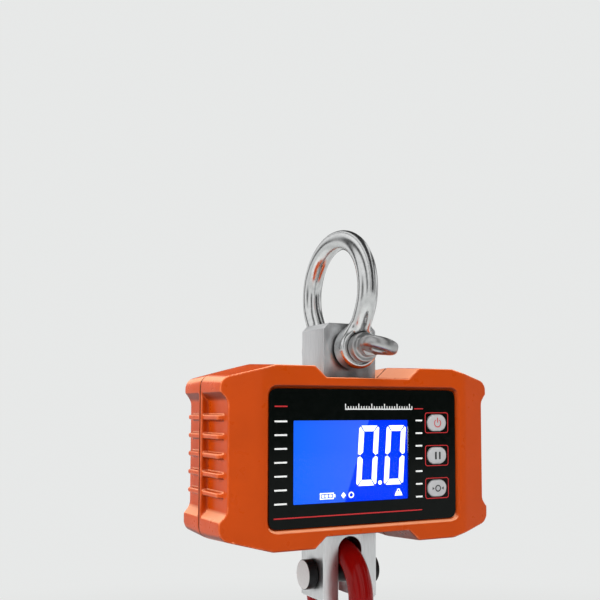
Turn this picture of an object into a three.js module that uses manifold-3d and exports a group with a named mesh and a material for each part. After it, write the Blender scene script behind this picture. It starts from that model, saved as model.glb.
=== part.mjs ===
// A digital hoist scale: a load cell block that hangs from a bow shackle and carries a forged hook, inside
// a two-shell die-cast case with a display, three buttons and three cells. Millimetres, +Z up, display to -Y.
// Heights below are counted from the centre of the display. The last lines lower everything so that the origin
// is the point inside the bow where the scale hangs.
import * as THREE from 'three';
import { mergeVertices } from 'three/addons/utils/BufferGeometryUtils.js';
import Module from 'manifold-3d';

const wasm = await Module();
wasm.setup();

const MERGE = 1e-3; // vertices closer than this are one
const GAP = 0.3; // clearance between pieces that touch
const OVERCUT = 2; // how far a cutter runs past the face it opens
const SINK = 0.5; // how far a post's root sinks into its wall

// The load path, all on the axis X = 0, Y = 0.
const BLOCK = { halfWidth: 15.2, halfDepth: 12, top: 68.4, bottom: -70, chamfer: 3, midZ: 5 };
const SHACKLE = {
  pinZ: 55.5, pinRadius: 5.2, bar: 5.1, lugRadius: 10.5, lugFrom: 13, lugTo: 23, lugEase: 2,
  arcHalfWidth: 30, arcHeight: 27.8, arcZ: 85.4, sweepBelow: 0.588,
};
const PIN = {
  collarRadius: 7.5, collarLength: 5, collarEase: 0.9, neckRadius: 4.6, neckLength: 4, seatRadius: 6.9,
  tabRadius: 9, tabY: -41, tabHalf: 2.8, tabFrom: 0.83, tabTurn: 16, eyeRadius: 3.6,
};
const BOW_INSIDE_TOP = SHACKLE.arcZ + SHACKLE.arcHeight - SHACKLE.bar;
const FORK = { halfSlot: 6.5, topZ: -38.7, pinZ: -57.7, pinRadius: 5.2 };
const EYE = { z: -68.7, radius: 22.8, bar: 6.1 };
const GAUGE = { hole: 8, halfLength: 3, halfWidth: 2, thickness: 0.5, inset: 0.7 };
const HOOK = {
  // The forging's centreline from the foot of the eye to the tip: y and z from the eye's centre, half depth,
  // half width.
  spine: [
    [0, -23, 6.1, 6.1], [8, -32, 6.9, 6.5], [15.5, -45, 8, 7], [18, -59, 8.6, 7.2], [12, -75, 9, 7.2],
    [-3, -82.5, 9, 7.2], [-18.5, -77, 8, 6.6], [-26.5, -64, 6.2, 5.6], [-28, -49, 3.6, 3.8],
  ],
  tipRadius: 3.6,
};
const LATCH = {
  y: -9, z: EYE.z - 31, boss: 4.4, bossHalf: 2.6, pinRadius: 1.6, earHalf: 7.8, sheet: 1.2,
  length: 21.5, lean: 34.6, halfWidth: 8,
};

// The case. Its outline is the same above and below CASE.midZ, and shrinks a little from the seam to each face.
const CASE = {
  halfWidth: 75.5, crease: 57.5, front: -31, rear: 30, sideFront: -26, sideRear: 22, midZ: 2.55,
  halfHeight: 44.5, sideHalfHeight: 37.6, slopeX: 50.5, corner: 5, edge: 2,
  notchTopX: 29.2, notchFloorX: 23.2, notchHeight: 38.9, draft: 0.035, draftDepth: 31,
  wall: 3.2, frontWall: 4.5, rearWall: 3, cavityHalfWidth: 69, seam: 0.15,
};
const CASE_REACH = 60; // further from the axis than any part of the case's height
const GRIP = { floorX: 71.8, topZ: 33, floorTopZ: 28.6, floorBottomZ: -22.2, bottomZ: -26.3, flange: 2.1 };
const RIB = { count: 5, topZ: 22.2, pitch: 8.85, height: 2.4, outerX: 74.9, end: 21, slant: 2.2 };
const PANEL = { halfWidth: 52.6, top: 34.5, bottom: -30.4, corner: 4.5, face: -29.5, thickness: 1.2, ledge: 4 };
const DISPLAY = { left: -40.15, right: 23.85, halfHeight: 19.5 };
const BUTTON = {
  names: ['power', 'hold', 'zero'], x: 41, zs: [17.95, 1.4, -15.1], halfWidth: 5.8, halfHeight: 4.2,
};
const BOARD = { halfWidth: 55, top: 35, bottom: -31, front: -19, back: -17.4, screwX: 51.8, screwInset: 2.6 };
const CASE_SCREW = { x: 62, h: 33.2, headY: 25, tipY: -16 };

// Inside: seals, brackets, display stack, switches and cells. The battery bay sits behind the block: a tray
// hung from the rear wall, with a lid let into the rear face.
const GASKET = { outerX: 73, outerInset: 0.9, width: 1.4, half: 0.7 };
const SEAL = { wall: 1.2, height: 2.8 };
const BRACKET = {
  z: -20.5, blockHole: 1.6, blockHoleDepth: 6, footX: 25, footZ: -27.5, footY: 16, sheet: 1.6,
  bottom: -31, footTop: -22.4, cheekTop: -16,
};
const STACK = {
  left: -43.5, right: 27.5, halfHeight: 22.5, glassFront: -27.6, glassBack: -25, lightBack: -21.4,
};
const SWITCH = { half: 3, front: -22.4, plungerTip: -23.3, plungerRadius: 1.7 };
const BAY = {
  halfWidth: 28, midZ: 2.55, halfHeight: 24.4, floorY: 12.5, wall: 1.2, floor: 0.6,
  flange: 2, flangeThickness: 1.2, lidHalfWidth: 38.5, lidHalfHeight: 28, lidThickness: 1.8, screwX: 34,
};
const CELL = { radius: 7.1, halfLength: 24.6, nub: 2.7, nubLength: 1.1, pitch: 14.9 };

const FINISH = {
  orangePaint: { color: 0xc4501b, roughness: 0.38, metalness: 0.05 },
  stainless: { color: 0xc9cbcc, roughness: 0.16, metalness: 1 },
  aluminium: { color: 0xb9bbbc, roughness: 0.34, metalness: 1 },
  zincSteel: { color: 0xa7a9aa, roughness: 0.35, metalness: 1 },
  blackSteel: { color: 0x1a1b1c, roughness: 0.4, metalness: 0.8 },
  redPaint: { color: 0xad1210, roughness: 0.22, metalness: 0.05 },
  blackGloss: { color: 0x050607, roughness: 0.12, metalness: 0 },
  clear: { color: 0xdde6ee, roughness: 0.05, metalness: 0, transparent: true, opacity: 0.35 },
  blueGlow: { color: 0x1e5fff, roughness: 0.3, metalness: 0 },
  greyPlastic: { color: 0x9fa3a6, roughness: 0.4, metalness: 0 },
  blackPlastic: { color: 0x17181a, roughness: 0.55, metalness: 0 },
  whitePlastic: { color: 0xd8d9d6, roughness: 0.5, metalness: 0 },
  blackRubber: { color: 0x141414, roughness: 0.85, metalness: 0 },
  boardGreen: { color: 0x1c5a36, roughness: 0.5, metalness: 0 },
  cellWrap: { color: 0x2c3a46, roughness: 0.35, metalness: 0.1 },
  brass: { color: 0xb08d4c, roughness: 0.3, metalness: 1 },
};

// ---------------------------------------------------------------- solids

function solid(geometry) {
  const bare = geometry.clone();
  bare.deleteAttribute('normal');
  bare.deleteAttribute('uv');
  const merged = mergeVertices(bare, MERGE);
  const index = merged.index.array;
  const triangles = [];
  for (let i = 0; i < index.length; i += 3) {
    const [a, b, c] = index.slice(i, i + 3);
    if (a !== b && b !== c && c !== a) triangles.push(a, b, c);
  }
  const vertProperties = Float32Array.from(merged.attributes.position.array);
  const triVerts = Uint32Array.from(triangles);
  return new wasm.Manifold(new wasm.Mesh({ numProp: 3, vertProperties, triVerts }));
}

function geometryOf(body) {
  const { vertProperties, triVerts } = body.getMesh();
  const geometry = new THREE.BufferGeometry();
  geometry.setAttribute('position', new THREE.BufferAttribute(vertProperties, 3));
  geometry.setIndex(new THREE.BufferAttribute(triVerts, 1));
  return geometry;
}

function piece(name, body, finish) {
  const geometry = geometryOf(body);
  geometry.computeVertexNormals();
  const mesh = new THREE.Mesh(geometry, new THREE.MeshStandardMaterial(finish));
  mesh.name = name;
  return mesh;
}

const join = (...bodies) => bodies.reduce((all, body) => all.add(body));
const cut = (body, ...tools) => body.subtract(join(...tools));

function box(x0, x1, y0, y1, z0, z1) {
  const geometry = new THREE.BoxGeometry(x1 - x0, y1 - y0, z1 - z0);
  return solid(geometry.translate((x0 + x1) / 2, (y0 + y1) / 2, (z0 + z1) / 2));
}

// Round bars and holes along each axis: radius, the two ends, then the other two coordinates in X, Y, Z order.
function rodX(radius, from, to, y, z, sides = 24) {
  const geometry = new THREE.CylinderGeometry(radius, radius, to - from, sides).rotateZ(-Math.PI / 2);
  return solid(geometry.translate((from + to) / 2, y, z));
}

function rodY(radius, from, to, x, z, sides = 24) {
  const geometry = new THREE.CylinderGeometry(radius, radius, to - from, sides);
  return solid(geometry.translate(x, (from + to) / 2, z));
}

// A turned piece on an axis along Y. Its profile lists [radius, y] with y rising.
function turnedY(profile, x, z, sides = 24) {
  const points = profile.map(([radius, y]) => new THREE.Vector2(radius, y));
  return solid(new THREE.LatheGeometry(points, sides).translate(x, 0, z));
}

// The same on an axis along X: the profile lists [radius, x] with x rising.
function turnedX(profile, y, z, sides = 24) {
  const points = profile.map(([radius, x]) => new THREE.Vector2(radius, x));
  return solid(new THREE.LatheGeometry(points, sides).rotateZ(-Math.PI / 2).translate(0, y, z));
}

// A shape drawn in X and Z, extruded along Y.
function slabY(shape, from, to, curveSegments = 4) {
  const geometry = new THREE.ExtrudeGeometry(shape, { depth: to - from, bevelEnabled: false, curveSegments });
  return geometry.rotateX(Math.PI / 2).translate(0, to, 0);
}

// A shape drawn in Y and Z, extruded along X.
function slabX(shape, from, to, curveSegments = 4) {
  const geometry = new THREE.ExtrudeGeometry(shape, { depth: to - from, bevelEnabled: false, curveSegments });
  const turn = new THREE.Matrix4().set(0, 0, 1, 0, 1, 0, 0, 0, 0, 1, 0, 0, 0, 0, 0, 1);
  return geometry.applyMatrix4(turn).translate(from, 0, 0);
}

// A shape drawn in X and Y, extruded along Z.
function slabZ(shape, from, to, curveSegments = 4) {
  const geometry = new THREE.ExtrudeGeometry(shape, { depth: to - from, bevelEnabled: false, curveSegments });
  return geometry.translate(0, 0, from);
}

// A polygon whose corners are eased: each point is [a, b, radius].
function easedPolygon(points) {
  const shape = new THREE.Shape();
  const corners = points.map(([a, b, radius = 0]) => ({ at: new THREE.Vector2(a, b), radius }));
  corners.forEach(({ at, radius }, i) => {
    const before = corners.at(i - 1).at.clone().sub(at).setLength(radius).add(at);
    const after = corners[(i + 1) % corners.length].at.clone().sub(at).setLength(radius).add(at);
    if (i === 0) shape.moveTo(before.x, before.y);
    else shape.lineTo(before.x, before.y);
    if (radius > 0) shape.quadraticCurveTo(at.x, at.y, after.x, after.y);
  });
  shape.closePath();
  return shape;
}

function easedRectangle(a0, a1, b0, b1, radius) {
  return easedPolygon([[a0, b0, radius], [a1, b0, radius], [a1, b1, radius], [a0, b1, radius]]);
}

// A slot-ended oval in the plane of a slab.
function oval(a, b, halfWidth, halfHeight) {
  const straight = halfWidth - halfHeight;
  const shape = new THREE.Shape();
  shape.moveTo(a - straight, b - halfHeight);
  shape.lineTo(a + straight, b - halfHeight);
  shape.absarc(a + straight, b, halfHeight, -Math.PI / 2, Math.PI / 2, false);
  shape.lineTo(a - straight, b + halfHeight);
  shape.absarc(a - straight, b, halfHeight, Math.PI / 2, 1.5 * Math.PI, false);
  return shape;
}

// A bar along a curve in the plane X = 0. Its section is an ellipse: half width along X, half depth across it.
function bentBar(curve, steps, sides, section) {
  const geometry = new THREE.CylinderGeometry(1, 1, 1, sides, steps);
  const position = geometry.attributes.position;
  const across = new THREE.Vector3();
  for (let i = 0; i < position.count; i += 1) {
    const along = position.getY(i) + 0.5;
    const { halfWidth, halfDepth } = section(along);
    const centre = curve.getPointAt(along);
    const tangent = curve.getTangentAt(along);
    across.set(0, tangent.z, -tangent.y);
    centre.addScaledVector(across, position.getX(i) * halfDepth);
    position.setXYZ(i, position.getZ(i) * halfWidth, centre.y, centre.z);
  }
  return solid(geometry);
}

function tube(points, radius, steps, sides = 8) {
  const curve = new THREE.CatmullRomCurve3(points.map((point) => new THREE.Vector3(...point)));
  const circle = new THREE.Shape().absarc(0, 0, radius, 0, 2 * Math.PI, false);
  const options = { steps, extrudePath: curve, curveSegments: sides / 2, bevelEnabled: false };
  return solid(new THREE.ExtrudeGeometry(circle, options));
}

// ---------------------------------------------------------------- load path

function shackleBow() {
  const { pinZ, pinRadius, bar, lugRadius, lugFrom, lugTo, lugEase } = SHACKLE;
  const { arcHalfWidth, arcHeight, arcZ, sweepBelow } = SHACKLE;
  const leg = (side) => [
    [side * (lugFrom + lugTo) / 2, pinZ],
    [side * (lugFrom + lugTo + 1) / 2, pinZ + lugRadius / 2],
  ];
  const points = leg(1);
  const arcSteps = 12;
  for (let i = 0; i <= arcSteps; i += 1) {
    const angle = -sweepBelow + (i / arcSteps) * (Math.PI + 2 * sweepBelow);
    points.push([arcHalfWidth * Math.cos(angle), arcZ + arcHeight * Math.sin(angle)]);
  }
  points.push(...leg(-1).reverse());
  const curve = new THREE.CatmullRomCurve3(points.map(([y, z]) => new THREE.Vector3(0, y, z)));
  const bow = bentBar(curve, 28, 12, () => ({ halfWidth: bar, halfDepth: bar }));
  const frontLug = turnedY([
    [0, -lugTo], [lugRadius - lugEase, -lugTo], [lugRadius, -lugTo + lugEase],
    [lugRadius, -lugFrom - lugEase], [lugRadius - lugEase, -lugFrom], [0, -lugFrom],
  ], 0, pinZ);
  const rearLug = turnedY([
    [0, lugFrom], [lugRadius - lugEase, lugFrom], [lugRadius, lugFrom + lugEase],
    [lugRadius, lugTo - lugEase], [lugRadius - lugEase, lugTo], [0, lugTo],
  ], 0, pinZ);
  const bore = rodY(pinRadius + GAP, -lugTo - OVERCUT, lugTo + OVERCUT, 0, pinZ);
  const jaw = box(-lugRadius, lugRadius, -lugFrom, lugFrom, pinZ - lugRadius, pinZ + lugRadius);
  const reach = 6;
  const spotfaces = [[-lugTo - reach, -lugTo], [lugTo, lugTo + reach]].map(([from, to]) => (
    rodY(PIN.collarRadius + GAP, from, to, 0, pinZ)
  ));
  return piece('shackle_bow', cut(join(bow, frontLug, rearLug), bore, jaw, ...spotfaces), FINISH.stainless);
}

function shacklePin() {
  const { pinRadius, pinZ, lugTo } = SHACKLE;
  const { collarRadius, collarLength, collarEase, neckRadius, neckLength, seatRadius } = PIN;
  const collarBack = -lugTo - GAP;
  const collarFront = collarBack - collarLength;
  const tip = lugTo;
  const tipEase = 0.8;
  const shank = turnedY([
    [0, collarFront - neckLength], [neckRadius, collarFront - neckLength], [neckRadius, collarFront],
    [collarRadius - collarEase, collarFront], [collarRadius, collarFront + collarEase],
    [collarRadius, collarBack + seatRadius - collarRadius], [seatRadius, collarBack], [pinRadius, collarBack],
    [pinRadius, tip - tipEase], [pinRadius - tipEase, tip], [0, tip],
  ], 0, pinZ);
  return piece('shackle_pin', join(shank, pinTab(collarFront)), FINISH.stainless);
}

// The flat eye by which the pin is turned. It came to rest a little turned about the pin.
function pinTab(collarFront) {
  const { neckRadius, tabRadius, tabY, tabHalf, tabFrom, tabTurn, eyeRadius } = PIN;
  const outline = new THREE.Shape();
  outline.absarc(0, tabY, tabRadius, Math.PI * tabFrom, Math.PI * (3 - tabFrom), false);
  outline.lineTo(neckRadius, collarFront + 1);
  outline.lineTo(-neckRadius, collarFront + 1);
  const eye = new THREE.Path();
  eye.absarc(0, tabY, eyeRadius, 0, 2 * Math.PI, true);
  outline.holes.push(eye);
  const flat = slabZ(outline, -tabHalf, tabHalf, 8).rotateY(THREE.MathUtils.degToRad(tabTurn));
  return solid(flat.translate(0, 0, SHACKLE.pinZ));
}

function loadCellBlock() {
  const { halfWidth, halfDepth, top, bottom, chamfer, midZ } = BLOCK;
  const small = 1;
  const outline = easedPolygon([
    [-halfWidth + small, bottom], [halfWidth - small, bottom], [halfWidth, bottom + small],
    [halfWidth, top - chamfer], [halfWidth - chamfer, top], [-halfWidth + chamfer, top],
    [-halfWidth, top - chamfer], [-halfWidth, bottom + small],
  ]);
  const blank = solid(slabY(outline, -halfDepth, halfDepth));
  const past = halfDepth + OVERCUT;
  const slot = new THREE.Shape();
  const slotTop = FORK.topZ - FORK.halfSlot;
  slot.moveTo(FORK.halfSlot, bottom - OVERCUT);
  slot.lineTo(FORK.halfSlot, slotTop);
  slot.absarc(0, slotTop, FORK.halfSlot, 0, Math.PI, false);
  slot.lineTo(-FORK.halfSlot, bottom - OVERCUT);
  return piece('load_cell_block', cut(
    blank,
    solid(slabY(slot, -past, past, 6)),
    rodY(SHACKLE.pinRadius + GAP, -past, past, 0, SHACKLE.pinZ),
    rodX(FORK.pinRadius + GAP, -halfWidth - OVERCUT, halfWidth + OVERCUT, 0, FORK.pinZ),
    rodY(GAUGE.hole, -past, past, 0, midZ),
    rodX(BRACKET.blockHole, -halfWidth - OVERCUT, -halfWidth + BRACKET.blockHoleDepth, 0, BRACKET.z, 16),
    rodX(BRACKET.blockHole, halfWidth - BRACKET.blockHoleDepth, halfWidth + OVERCUT, 0, BRACKET.z, 16),
  ), FINISH.aluminium);
}

// Four foil gauges on the wall of the block's round window, a quarter turn apart.
function strainGauges() {
  return [0, 1, 2, 3].map((quarter) => {
    const { hole, halfLength, halfWidth, thickness, inset } = GAUGE;
    const geometry = new THREE.BoxGeometry(thickness, 2 * halfLength, 2 * halfWidth);
    geometry.translate(hole - inset - thickness / 2, 0, 0).rotateY(-quarter * Math.PI / 2);
    return piece(`strain_gauge_${quarter + 1}`, solid(geometry.translate(0, 0, BLOCK.midZ)), FINISH.brass);
  });
}

function hookPin() {
  const outer = BLOCK.halfWidth + GAP;
  const head = { radius: 7.4, thickness: 4.8, ease: 0.7 };
  const left = -outer - head.thickness;
  const shank = turnedX([
    [0, left], [head.radius - head.ease, left], [head.radius, left + head.ease],
    [head.radius, -outer], [FORK.pinRadius, -outer], [FORK.pinRadius, BLOCK.halfWidth - 1],
    [3, BLOCK.halfWidth - 1], [3, outer + 2], [0, outer + 2],
  ], 0, FORK.pinZ);
  const right = outer + head.thickness;
  const cap = turnedX([
    [0, BLOCK.halfWidth + GAP], [head.radius, BLOCK.halfWidth + GAP], [head.radius, right - head.ease],
    [head.radius - head.ease, right], [0, right],
  ], 0, FORK.pinZ);
  const socket = rodX(3 + GAP, outer - OVERCUT, outer + 2 + GAP, 0, FORK.pinZ, 16);
  return [
    piece('hook_pin', shank, FINISH.blackSteel),
    piece('hook_pin_cap', cut(cap, socket), FINISH.blackSteel),
  ];
}

// ---------------------------------------------------------------- hook

function hook() {
  const [steps, sides] = [24, 12];
  const route = HOOK.spine.map(([y, down]) => new THREE.Vector3(0, y, EYE.z + down));
  const curve = new THREE.CatmullRomCurve3(route);
  const section = (along) => {
    const place = Math.min(along, 0.9999) * (HOOK.spine.length - 1);
    const from = HOOK.spine[Math.floor(place)];
    const to = HOOK.spine[Math.floor(place) + 1];
    const part = place % 1;
    return {
      halfDepth: THREE.MathUtils.lerp(from[2], to[2], part),
      halfWidth: THREE.MathUtils.lerp(from[3], to[3], part),
    };
  };
  const tip = route.at(-1);
  const eye = new THREE.TorusGeometry(EYE.radius, EYE.bar, 12, 28).rotateY(Math.PI / 2).translate(0, 0, EYE.z);
  const point = new THREE.SphereGeometry(HOOK.tipRadius, 10, 6).translate(0, tip.y, tip.z);
  return piece('hook', cut(
    join(
      solid(eye),
      bentBar(curve, steps, sides, section),
      solid(point),
      rodX(LATCH.boss, -LATCH.bossHalf, LATCH.bossHalf, LATCH.y, LATCH.z),
    ),
    rodX(LATCH.pinRadius + GAP, -OVERCUT - LATCH.bossHalf, OVERCUT + LATCH.bossHalf, LATCH.y, LATCH.z, 16),
  ), FINISH.redPaint);
}

// The latch is drawn hanging straight down from its pin, then leaned forward against the tip.
function leaned(body) {
  const geometry = geometryOf(body);
  geometry.rotateX(THREE.MathUtils.degToRad(-LATCH.lean));
  return solid(geometry.translate(0, LATCH.y, LATCH.z));
}

function latchPieces() {
  const { boss, bossHalf, pinRadius, earHalf, sheet, length, halfWidth } = LATCH;
  const earInner = earHalf - sheet;
  const earOutline = new THREE.Shape();
  const earRadius = boss - 0.4;
  earOutline.absarc(0, 0, earRadius, 0, Math.PI, false);
  earOutline.lineTo(-earRadius, -earRadius);
  earOutline.lineTo(-1.4, -length);
  earOutline.lineTo(1.4, -length);
  earOutline.lineTo(earRadius, -earRadius);
  const plateTop = -boss - 1.6;
  const ears = [-earHalf, earInner].map((x) => solid(slabX(earOutline, x, x + sheet, 6)));
  const plate = box(-earHalf, earHalf, 0.2, 0.2 + sheet, -length, plateTop);
  const lip = box(-halfWidth, halfWidth, 0.2, 0.2 + sheet, -length - 4, -length + 0.5);
  const hole = rodX(pinRadius + GAP, -earHalf - OVERCUT, earHalf + OVERCUT, 0, 0, 16);
  const rivetEnd = earHalf + GAP;
  const head = { radius: 2.8, thickness: 0.9 };
  const rivet = turnedX([
    [0, -rivetEnd - head.thickness], [head.radius, -rivetEnd - head.thickness], [head.radius, -rivetEnd],
    [pinRadius, -rivetEnd], [pinRadius, rivetEnd], [head.radius, rivetEnd],
    [head.radius, rivetEnd + head.thickness], [0, rivetEnd + head.thickness],
  ], 0, 0, 16);
  const wire = 0.45;
  const coil = { radius: pinRadius + GAP + wire + 0.2, turns: 2, from: bossHalf + GAP + wire, pitch: 1.15 };
  const stepsPerTurn = 12;
  const route = [];
  for (let i = 0; i <= coil.turns * stepsPerTurn; i += 1) {
    const angle = (i / stepsPerTurn) * 2 * Math.PI;
    const x = coil.from + (coil.pitch * i) / stepsPerTurn;
    route.push([x, coil.radius * Math.sin(angle), coil.radius * Math.cos(angle)]);
  }
  return [
    piece('hook_latch', leaned(cut(join(...ears, plate, lip), hole)), FINISH.zincSteel),
    piece('latch_pin', leaned(rivet), FINISH.zincSteel),
    piece('latch_spring', leaned(tube(route, wire, 30, 6)), FINISH.stainless),
  ];
}

// ---------------------------------------------------------------- case shells

// The case outline in X and height above CASE.midZ, drawn in by an inset on every side.
function caseOutline(halfWidth, inset, corner) {
  const top = CASE.halfHeight - inset;
  const notch = CASE.notchHeight - inset;
  const slope = (CASE.halfHeight - CASE.sideHalfHeight) / (CASE.halfWidth - CASE.slopeX);
  const side = top - slope * (halfWidth - CASE.slopeX);
  const notchInset = inset / 2;
  const quarter = [
    [halfWidth, side, corner], [CASE.slopeX, top, 0], [CASE.notchTopX + notchInset, top, 0],
    [CASE.notchFloorX + notchInset, notch, 0],
  ];
  const upper = [...quarter, ...quarter.map(([x, h, radius]) => [-x, h, radius]).reverse()];
  return easedPolygon([...upper, ...upper.map(([x, h, radius]) => [-x, -h, radius])]);
}

// A prism of that outline between two depths, drawn in towards the faces by the draft.
function draftedPrism(outline, from, to) {
  const geometry = slabY(outline, from, to, 3);
  const position = geometry.attributes.position;
  for (let i = 0; i < position.count; i += 1) {
    const scale = 1 - (CASE.draft * Math.abs(position.getY(i))) / CASE.draftDepth;
    position.setZ(i, CASE.midZ + position.getZ(i) * scale);
  }
  return solid(geometry);
}

// The plan of one shell: flat face between the creases, then a facet out to each side.
function planPrism(face, side, halfWidth, crease, corner) {
  const seam = Math.sign(face) * CASE.seam;
  const plan = easedPolygon([
    [-halfWidth, seam, 0], [-halfWidth, side, corner], [-crease, face, 0],
    [crease, face, 0], [halfWidth, side, corner], [halfWidth, seam, 0],
  ]);
  return solid(slabZ(plan, -CASE_REACH, CASE_REACH, 2));
}

// The gasket lies in a groove round the seam. The groove is the same ring with some room around it.

function gasketRing(room) {
  const { outerX, outerInset, width, half } = GASKET;
  const depth = half + room;
  return cut(
    draftedPrism(caseOutline(outerX + room, outerInset - room, 4), -depth, depth),
    draftedPrism(caseOutline(outerX - width - room, outerInset + width + room, 3), -2 * depth, 2 * depth),
  );
}

// One shell, hollow, with the grips cut into its sides. The sign is -1 for the front shell and 1 for the rear.
function shellBlank(sign) {
  const face = sign < 0 ? CASE.front : CASE.rear;
  const side = sign < 0 ? CASE.sideFront : CASE.sideRear;
  const wall = sign < 0 ? CASE.frontWall : CASE.rearWall;
  const [from, to] = sign < 0 ? [face - 1, 0] : [0, face + 1];
  const outer = draftedPrism(caseOutline(CASE.halfWidth, 0, CASE.corner), from, to)
    .intersect(planPrism(face, side, CASE.halfWidth, CASE.crease, CASE.edge));
  const inside = face - sign * wall;
  const insideSide = inside - (face - side) * 0.6;
  const cavity = draftedPrism(caseOutline(CASE.cavityHalfWidth, CASE.wall, 2), Math.min(0, 1.1 * from),
    Math.max(0, 1.1 * to)).intersect(planPrism(inside, insideSide, CASE.cavityHalfWidth, CASE.crease, 0));
  const mouth = draftedPrism(caseOutline(CASE.cavityHalfWidth, CASE.wall, 2), -1, 1);
  const { halfWidth, halfDepth } = BLOCK;
  const sealGap = SEAL.wall + GAP;
  const throat = box(-halfWidth - sealGap, halfWidth + sealGap, -halfDepth - sealGap, halfDepth + sealGap,
    -CASE_REACH, CASE_REACH);
  let shell = cut(outer, cavity, mouth, throat);
  const [gripFrom, gripTo] = sign < 0 ? [face - OVERCUT, -GRIP.flange] : [GRIP.flange, face + OVERCUT];
  const out = CASE.halfWidth + OVERCUT;
  for (const mirror of [-1, 1]) {
    const grip = easedPolygon([
      [mirror * out, GRIP.bottomZ - OVERCUT], [mirror * CASE.halfWidth, GRIP.bottomZ],
      [mirror * GRIP.floorX, GRIP.floorBottomZ], [mirror * GRIP.floorX, GRIP.floorTopZ],
      [mirror * CASE.halfWidth, GRIP.topZ], [mirror * out, GRIP.topZ + OVERCUT],
    ]);
    shell = cut(shell, solid(slabY(grip, gripFrom, gripTo)));
    const inner = GRIP.floorX - 1;
    const end = RIB.end * (sign < 0 ? 1 : CASE.sideRear / -CASE.sideFront);
    const rib = easedPolygon([
      [mirror * inner, sign * 1], [mirror * RIB.outerX, sign * 1], [mirror * RIB.outerX, sign * end],
      [mirror * GRIP.floorX, sign * (end + RIB.slant)], [mirror * inner, sign * (end + RIB.slant)],
    ]);
    for (let i = 0; i < RIB.count; i += 1) {
      const top = RIB.topZ - i * RIB.pitch;
      shell = join(shell, solid(slabZ(rib, top - RIB.height, top)));
    }
  }
  return shell;
}

const caseScrewPlaces = () => [-1, 1].flatMap((sx) => [-1, 1].map((sz) => ({
  x: sx * CASE_SCREW.x, z: CASE.midZ + sz * CASE_SCREW.h,
})));

const boardScrewPlaces = () => [-1, 1].flatMap((sx) => [
  { x: sx * BOARD.screwX, z: BOARD.top - BOARD.screwInset },
  { x: sx * BOARD.screwX, z: BOARD.bottom + BOARD.screwInset },
]);

function frontShell() {
  const { halfWidth, top, bottom, corner, face, thickness, ledge } = PANEL;
  const inner = CASE.front + CASE.frontWall;
  const ledgeY = face + thickness + GAP;
  const pocket = easedRectangle(-halfWidth - GAP, halfWidth + GAP, bottom - GAP, top + GAP, corner);
  const bevel = 1.3;
  const bevelDepth = (face - CASE.front) * 0.8;
  const mouth = new THREE.ExtrudeGeometry(pocket, {
    depth: 1, bevelEnabled: true, bevelThickness: bevelDepth, bevelSize: bevel, bevelSegments: 1,
    curveSegments: 4,
  }).rotateX(Math.PI / 2).translate(0, CASE.front, 0);
  const window = easedRectangle(-halfWidth + ledge, halfWidth - ledge, bottom + ledge, top - ledge, 2);
  let shell = cut(
    shellBlank(-1),
    solid(mouth),
    solid(slabY(pocket, CASE.front - OVERCUT, ledgeY)),
    solid(slabY(window, CASE.front, inner + OVERCUT)),
  );
  const boss = { radius: 4, bore: 1.7 };
  const post = { radius: 3, bore: 1, tip: BOARD.front - GAP };
  for (const { x, z } of caseScrewPlaces()) {
    const deep = cut(
      rodY(boss.radius, inner - SINK, -CASE.seam, x, z, 16),
      rodY(boss.bore + GAP, CASE_SCREW.tipY - 1, OVERCUT, x, z, 16),
    );
    shell = join(shell, deep);
  }
  for (const { x, z } of boardScrewPlaces()) {
    const short = rodY(post.radius, inner - SINK, post.tip, x, z, 16);
    shell = join(shell, cut(short, rodY(post.bore + GAP, inner + 1, 0, x, z, 12)));
  }
  return piece('front_shell', cut(shell, gasketRing(GAP)), FINISH.orangePaint);
}

function rearShell() {
  const bay = BAY;
  const inner = CASE.rear - CASE.rearWall;
  const lidSeat = CASE.rear - bay.lidThickness - GAP;
  const lid = easedRectangle(-bay.lidHalfWidth - GAP, bay.lidHalfWidth + GAP,
    bay.midZ - bay.lidHalfHeight - GAP, bay.midZ + bay.lidHalfHeight + GAP, 3);
  const mouth = easedRectangle(-bay.halfWidth - GAP, bay.halfWidth + GAP,
    bay.midZ - bay.halfHeight - GAP, bay.midZ + bay.halfHeight + GAP, 1);
  let shell = shellBlank(1);
  const boss = { radius: 5.4, shank: 2.4, head: 3.9 };
  for (const { x, z } of caseScrewPlaces()) {
    const tower = rodY(boss.radius, CASE.seam, inner - SINK, x, z, 16);
    shell = join(shell, tower.intersect(planPrism(CASE.rear, CASE.sideRear, CASE.halfWidth, CASE.crease, 0)));
    shell = cut(shell, rodY(boss.shank, -1, CASE.rear + 1, x, z, 16));
    shell = cut(shell, rodY(boss.head, CASE_SCREW.headY - GAP, CASE.rear + 1, x, z, 16));
  }
  const post = { bore: 1.5, depth: 8, lidRadius: 3.4, lidTop: 21, bracketRadius: 3.2 };
  const posts = [-1, 1].flatMap((side) => [
    rodY(post.lidRadius, post.lidTop, inner + SINK, side * bay.screwX, bay.midZ, 16),
    rodY(post.bracketRadius, BRACKET.footY + GAP, inner + SINK, side * BRACKET.footX, BRACKET.footZ, 16),
  ]);
  const bores = [-1, 1].flatMap((side) => [
    rodY(post.bore, CASE.rear - post.depth, CASE.rear, side * bay.screwX, bay.midZ, 12),
    rodY(post.bore, BRACKET.footY - 1, BRACKET.footY + post.depth, side * BRACKET.footX, BRACKET.footZ, 12),
  ]);
  shell = cut(
    join(shell, ...posts),
    solid(slabY(lid, lidSeat, CASE.rear + OVERCUT)),
    solid(slabY(mouth, inner - OVERCUT, CASE.rear)),
    ...bores,
  );
  return piece('rear_shell', cut(shell, gasketRing(GAP)), FINISH.orangePaint);
}

// ---------------------------------------------------------------- seals, brackets and screws

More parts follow.
